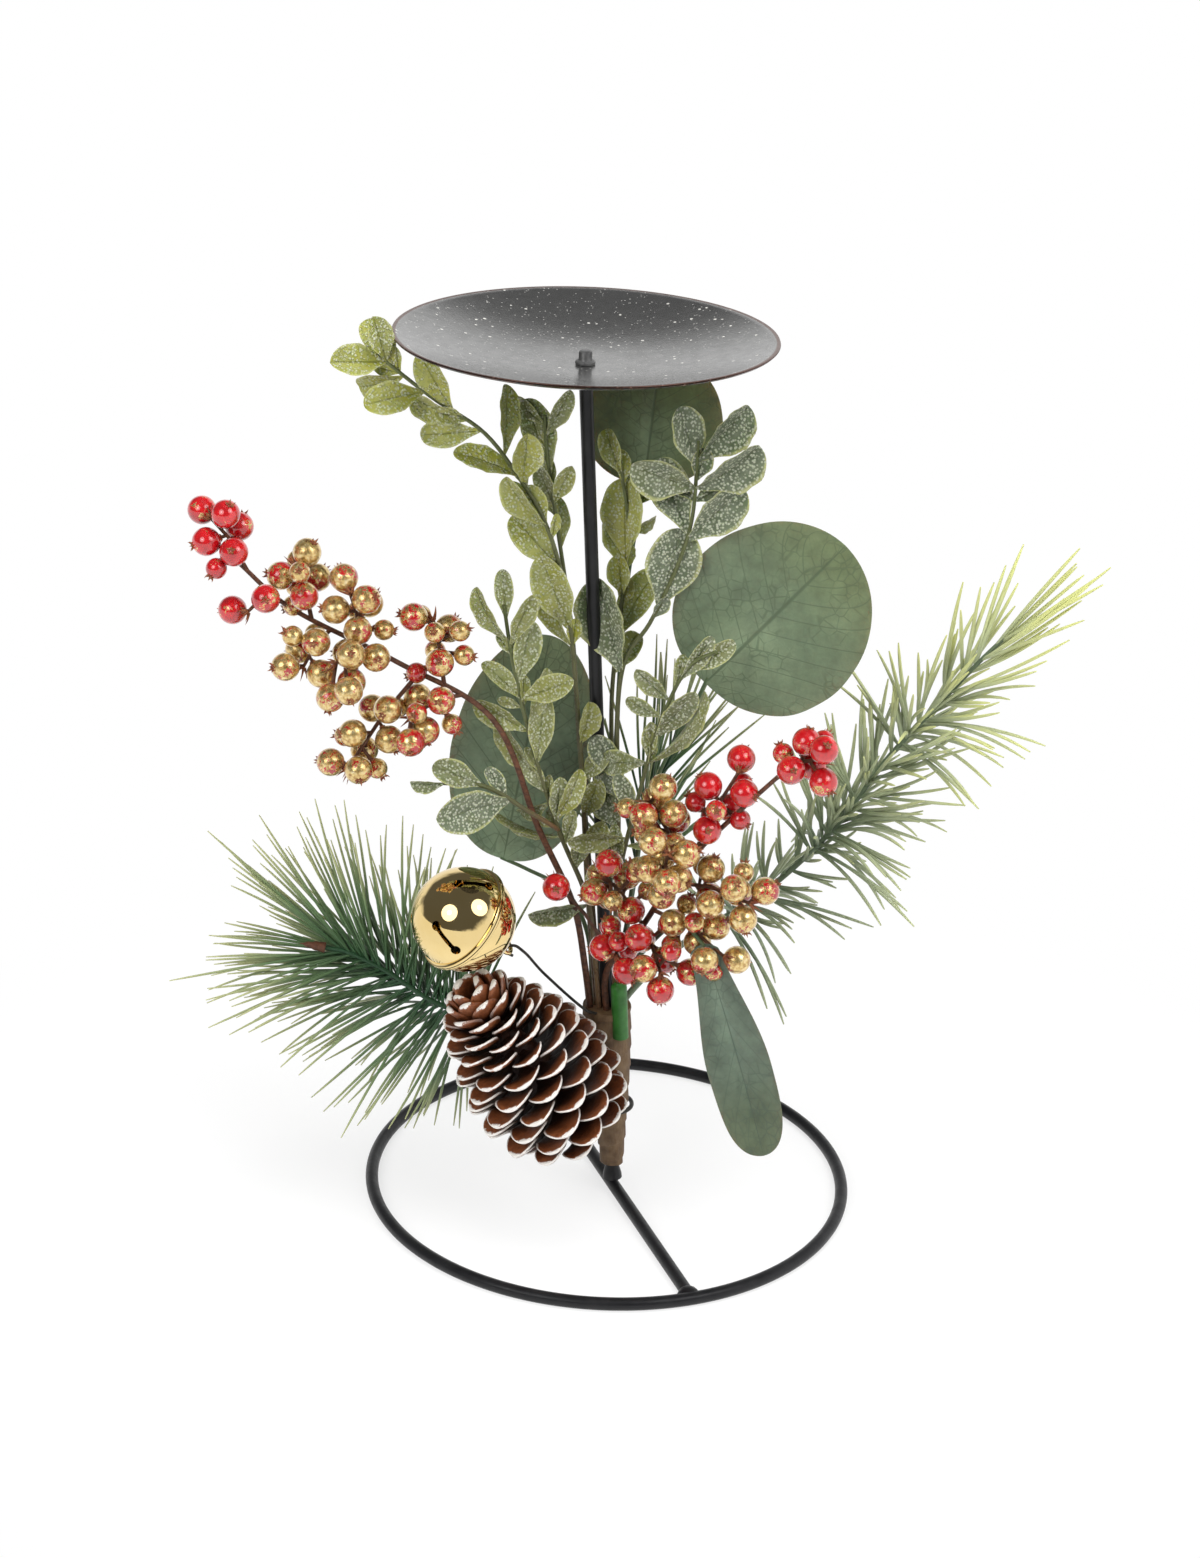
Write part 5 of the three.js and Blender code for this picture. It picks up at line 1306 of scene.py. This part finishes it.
YOUNG_LEAVES = {
    "leaf_spray_top": [(0.27, 34, 12, 20), (0.32, 26, 13, 35), (0.37, 38, 12, 10), (0.42, 28, 13, 45)],
    "leaf_spray_right": [(0.37, -32, 13, 20), (0.42, -26, 12, 40), (0.46, -36, 13, 15)],
    "leaf_spray_left": [(0.335, -88, 19, 60), (0.36, 42, 12, 30), (0.42, 36, 13, 45), (0.48, 40, 13, 20)],
    "leaf_spray_low": [(0.4, -34, 13, 25), (0.45, -26, 12, 50), (0.58, -40, 13, 30)],
}
NARROW_SPRAYS = ("leaf_spray_left", "leaf_spray_low", "leaf_spray_centre")
NARROWER = 0.78
YOUNG_TONE = 0.7
SIDE_TONE = 0.15
SIDE_STEM = [(-12.3, -11.3, 64), (-20, -20, 73), (-33, -25, 83), (-45, -26, 84)]
SIDE_LEAVES = [(0.74, 10, 15, 30), (0.55, 25, 10, 40), (0.52, -50, 24, 55), (0.985, -15, 10, 40)]


def add_small_leaf(skin, line, leaf, index, tone, rng, wide=SMALL_LEAF_WIDTH_SHARE):
    """A leaf beside its stem, tilted forward and backward in turn."""
    station, lean, length, roll = leaf
    hand = -1 if lean < 0 else 1
    spread = math.radians(abs(lean))
    depth = FORWARD_TILT if index % 2 == 0 else BACKWARD_TILT
    heading = line.heading(station)
    across = heading.cross(FRONT).normalized()
    out = across * hand * math.cos(depth) + FRONT * math.sin(depth)
    along = heading * math.cos(spread) + out * math.sin(spread)
    facing = FRONT + heading * 0.4 - out * 0.35
    turn = hand * math.radians(roll + rng.uniform(-25, 25))
    spec = {"base": line.place(station), "along": along,
            "facing": turn_about(along.normalized(), turn, facing),
            "length": length * 1.08 * MM, "width": length * wide * rng.uniform(0.82, 1.08) * MM,
            "bend": rng.uniform(-0.1, 0.9), "cup": rng.uniform(0.2, 0.7), "outline": small_oval,
            "thickness": LEAF_THICKNESS, "crease": 0.35 * MM, "wave": 0.07, "fold": 1.4}
    add_blade(skin, spec, clamp(tone + rng.uniform(-0.15, 0.15)), rng, rows=20, columns=13)


def spray_width(node):
    """The width of a spray's leaves as a share of their length."""
    wide = BROAD_LEAF_WIDTH_SHARE if node == "leaf_spray_right" else SMALL_LEAF_WIDTH_SHARE
    return wide * NARROWER if node in NARROW_SPRAYS else wide


def add_sprays():
    """The listed leaves, a young one beside every second of them, and the young ones low on the stem."""
    rng = random.Random(8)
    for node, (tone, name, leaves) in SPRAYS.items():
        skin = stem(node, STEM_RADIUS)
        line, wide = LINES[node], spray_width(node)
        for index, leaf in enumerate(leaves):
            add_small_leaf(skin, line, leaf, index, tone, rng, wide)
            if index % 2 == 0:
                young = (leaf[0] - 0.02, -leaf[1] * 0.7, rng.uniform(7, 10), rng.uniform(0, 70))
                add_small_leaf(skin, line, young, index + 1, tone, rng, wide)
        for leaf in YOUNG_LEAVES.get(node, []):
            add_small_leaf(skin, line, leaf, 0, tone * YOUNG_TONE, rng, wide)
        if node == "leaf_spray_left":
            side = smooth_line([at(*point) for point in SIDE_STEM])
            skin.tube(side, even(STEM_RADIUS * 0.8), sides=10, steps=40, tint=STEM_TINT)
            for index, leaf in enumerate(SIDE_LEAVES):
                add_small_leaf(skin, side, leaf, index, SIDE_TONE, rng)
        skin.make(name, FROST, "frosted_leaf", node)


# Pine

# A tuft of needles is (first, last, count, first_lean, last_lean, length, forward, droop): its stations on
# the twig, its needles, their angles from the twig in degrees, and in millimetres their length and how far
# their tips bend along the twig and down. A sprig is its radius of needle, how far its needles may face the
# viewer as the cosine of their angle, the station where they begin to pale, its name and its tufts.
SPRIGS = {
    "pine_sprig_left": (0.44, 0.4, 0.45, "pine_left", [(0.54, 0.96, 290, 90, 30, 53, 0, 3)]),
    "pine_sprig_right": (0.6, 1.1, 0.24, "pine_right", [
        (0.27, 0.37, 32, 86, 30, 36, 0, 10), (0.48, 0.56, 42, 80, 14, 39, 0, 14),
        (0.3, 0.86, 120, 74, 44, 19, 4, 2), (0.52, 0.68, 46, 74, 40, 33, 3, 0),
        (0.73, 0.81, 40, 84, 16, 38, 0, 10), (0.84, 1.0, 30, 48, 10, 34, 6, 0)]),
    "pine_sprig_back": (0.44, 1.1, 0.5, "pine_back", [(0.5, 1.0, 52, 34, 14, 49, 0, 0)]),
}
NEEDLE_SWAY = 4.2 * MM
NEEDLE_STEPS = 8
BUNDLE = 3


def add_needle(skin, root, along, length, bend, radius, tint):
    """A bent needle, thickest in its middle and pointed at its end."""
    def thickness(share):
        return radius * (0.72 + 0.28 * math.sin(math.pi * share)) * (1 - 0.5 * share ** 12)

    shares = [k / NEEDLE_STEPS for k in range(NEEDLE_STEPS + 1)]
    points = [root + along * length * share + bend * share ** 2 for share in shares]
    skin.tube(Line(points), thickness, sides=6, steps=9, tint=clamp(tint))


def add_tuft(skin, line, tuft, radius, limit, start, rng):
    """Needles round a stretch of a stem, in bundles that share a foot."""
    first, last, count, wide, narrow, length, forward, droop = tuft
    for bundle in range(count // BUNDLE):
        share = (bundle + 0.5) * BUNDLE / count
        station = first + (last - first) * share
        heading = line.heading(station)
        turn = bundle * GOLDEN_ANGLE + rng.uniform(-0.3, 0.3)
        slope = wide + (narrow - wide) * share + rng.uniform(-10, 10)
        for _ in range(BUNDLE):
            out = turn_about(heading, turn + rng.uniform(-0.22, 0.22), flatten(UP, heading))
            if out.dot(FRONT) > limit:
                out = flatten(out - FRONT * 1.4 * out.dot(FRONT), heading)
            lean = math.radians(slope + rng.uniform(-8, 8))
            sway = Vector((rng.uniform(-1, 1), rng.uniform(-1, 1), rng.uniform(-1, 1))) * NEEDLE_SWAY
            weight = droop * rng.uniform(0.5, 1.3) * (1 if out.z < 0.3 else 0.25)
            add_needle(skin, line.place(station), heading * math.cos(lean) + out * math.sin(lean),
                       length * rng.uniform(0.72, 1.0) * (0.84 + 0.2 * math.cos(lean)) * MM,
                       sway + (heading * forward - UP * weight) * MM, radius * MM,
                       ((station - start) / (1 - start)) ** 1.4 + rng.uniform(-0.12, 0.12))


def add_pines():
    rng = random.Random(17)
    for node, (radius, limit, start, name, tufts) in SPRIGS.items():
        skin = stem(node, STEM_RADIUS if node == "pine_sprig_back" else BRANCH_RADIUS)
        for tuft in tufts:
            add_tuft(skin, LINES[node], tuft, radius, limit, start, rng)
        skin.make(name, MOULDED_NEEDLE if node == "pine_sprig_right" else LONG_NEEDLE, "needle", node)


def add_bud():
    """A brown bud at the end of the left sprig."""
    def radius(share):
        return BUD_RADIUS * (1 - share ** 2) + 0.1 * MM * math.sin(20 * share)

    sprig = LINES["pine_sprig_left"]
    foot, heading = sprig.place(1), sprig.heading(1)
    line = Line([foot, foot + heading * BUD_LENGTH])
    bud = Skin().tube(line, radius, sides=14, steps=20)
    bud.make("bud_left", BARK, "bark", "pine_bud_left")


# Stage

def add_camera():
    flat = math.cos(CAMERA_PITCH)
    forward = Vector((math.sin(CAMERA_YAW) * flat, math.cos(CAMERA_YAW) * flat, -math.sin(CAMERA_PITCH)))
    level = Vector((math.cos(CAMERA_YAW), -math.sin(CAMERA_YAW), 0))
    upright = level.cross(forward)
    right = level * math.cos(CAMERA_ROLL) + upright * math.sin(CAMERA_ROLL)
    facing = Matrix((right, right.cross(forward), -forward)).transposed()
    camera = put("camera", bpy.data.cameras.new("camera"))
    camera.matrix_world = Matrix.Translation(CAMERA_PLACE) @ facing.to_4x4()
    camera.data.sensor_width = SENSOR
    camera.data.lens = SENSOR * FOCAL_PIXELS / PHOTO_HEIGHT
    SCENE.camera = camera


def add_softbox(name, place, size, power, shown=True):
    """A round lamp that faces the object, and that mirrors show or don't."""
    lamp = bpy.data.lights.new(name, "AREA")
    lamp.shape, lamp.size, lamp.energy = "DISK", size, power
    piece = put(name, lamp)
    piece.location = place
    piece.visible_glossy = shown
    piece.rotation_mode = "QUATERNION"
    piece.rotation_quaternion = (LAMP_TARGET - Vector(place)).to_track_quat("-Z", "Y")


def add_lamps():
    """A lamp above, and on each side a soft one with a brighter core and a fill that mirrors don't show."""
    add_softbox("top_light", *TOP_LAMP, shown=False)
    for side, place in SIDE_LAMPS.items():
        add_softbox(side + "_light", place, SIDE_LAMP_SIZE, SIDE_LAMP_POWER)
        add_softbox(side + "_core", Vector(place) * CORE_NEARER, CORE_SIZE, CORE_POWER)
        add_softbox(side + "_fill", place, SIDE_LAMP_SIZE, FILL_POWER, shown=False)


def seen_rays(g):
    """1 for the rays to the camera, and 1 for these, those in mirrors and those through clear things."""
    camera = g.take("LightPath", {}, "Is Camera Ray")
    seen = camera
    for other in ("Is Glossy Ray", "Is Transmission Ray"):
        seen = g.math("ADD", seen, g.take("LightPath", {}, other), use_clamp=True)
    return camera, seen


def add_world():
    """A white room with a dark part in front of and above the object, which the camera never shows."""
    g = Graph("studio", "worlds", "Background", "World Output")
    SCENE.world = g.owner
    facing = g.take("VectorMath", {0: g.place("Generated"), 1: DARK_SIDE}, "Value", operation="DOT_PRODUCT")
    edge = g.noise(3.0, 3.0, 0.5, space="Generated") * 0.5 + facing
    light, mirrored = (g.span(edge, *DARK_EDGE, *ends, "SMOOTHSTEP") for ends in (ROOM_LIGHT, ROOM_MIRRORED))
    camera, seen = seen_rays(g)
    g.set(Color=WHITE, Strength=light)
    g.show(seen, g.take("Background", {"Color": WHITE, "Strength": g.larger(mirrored, camera)}))


def add_floor():
    """A matt white floor, seen as pure white away from the object and with a soft shadow near it."""
    profile = [(FLOOR_RADIUS, FLOOR_BOTTOM), (FLOOR_RADIUS, FLOOR_TOP), (0.1 * MM, FLOOR_TOP)]
    floor = put("floor", Skin().turned(profile, segments=48).mesh("floor"))
    g = Graph("floor")
    g.set(Base_Color=(0.9, 0.9, 0.9), Roughness=0.9)
    reach = g.take("VectorMath", {0: g.place()}, "Value", operation="LENGTH")
    away = g.span(reach, *SHADOW_EDGE, SHADOW_WHITENESS, 1.0, "SMOOTHSTEP")
    g.show(seen_rays(g)[1] * away, g.take("Emission", {"Color": WHITE, "Strength": 1.0}))
    floor.data.materials.append(g.owner)


add_camera()
add_world()
add_floor()
add_lamps()

add_ring()
add_crossbar()
add_rod()
add_dish()
add_rivet()
add_tape()
add_pick()
add_cone()
add_cone_wire()
add_bell()
add_bell_wire()
add_berries()
add_large_leaves()
add_sprays()
add_pines()
add_bud()

SCENE.view_settings.view_transform = "Standard"
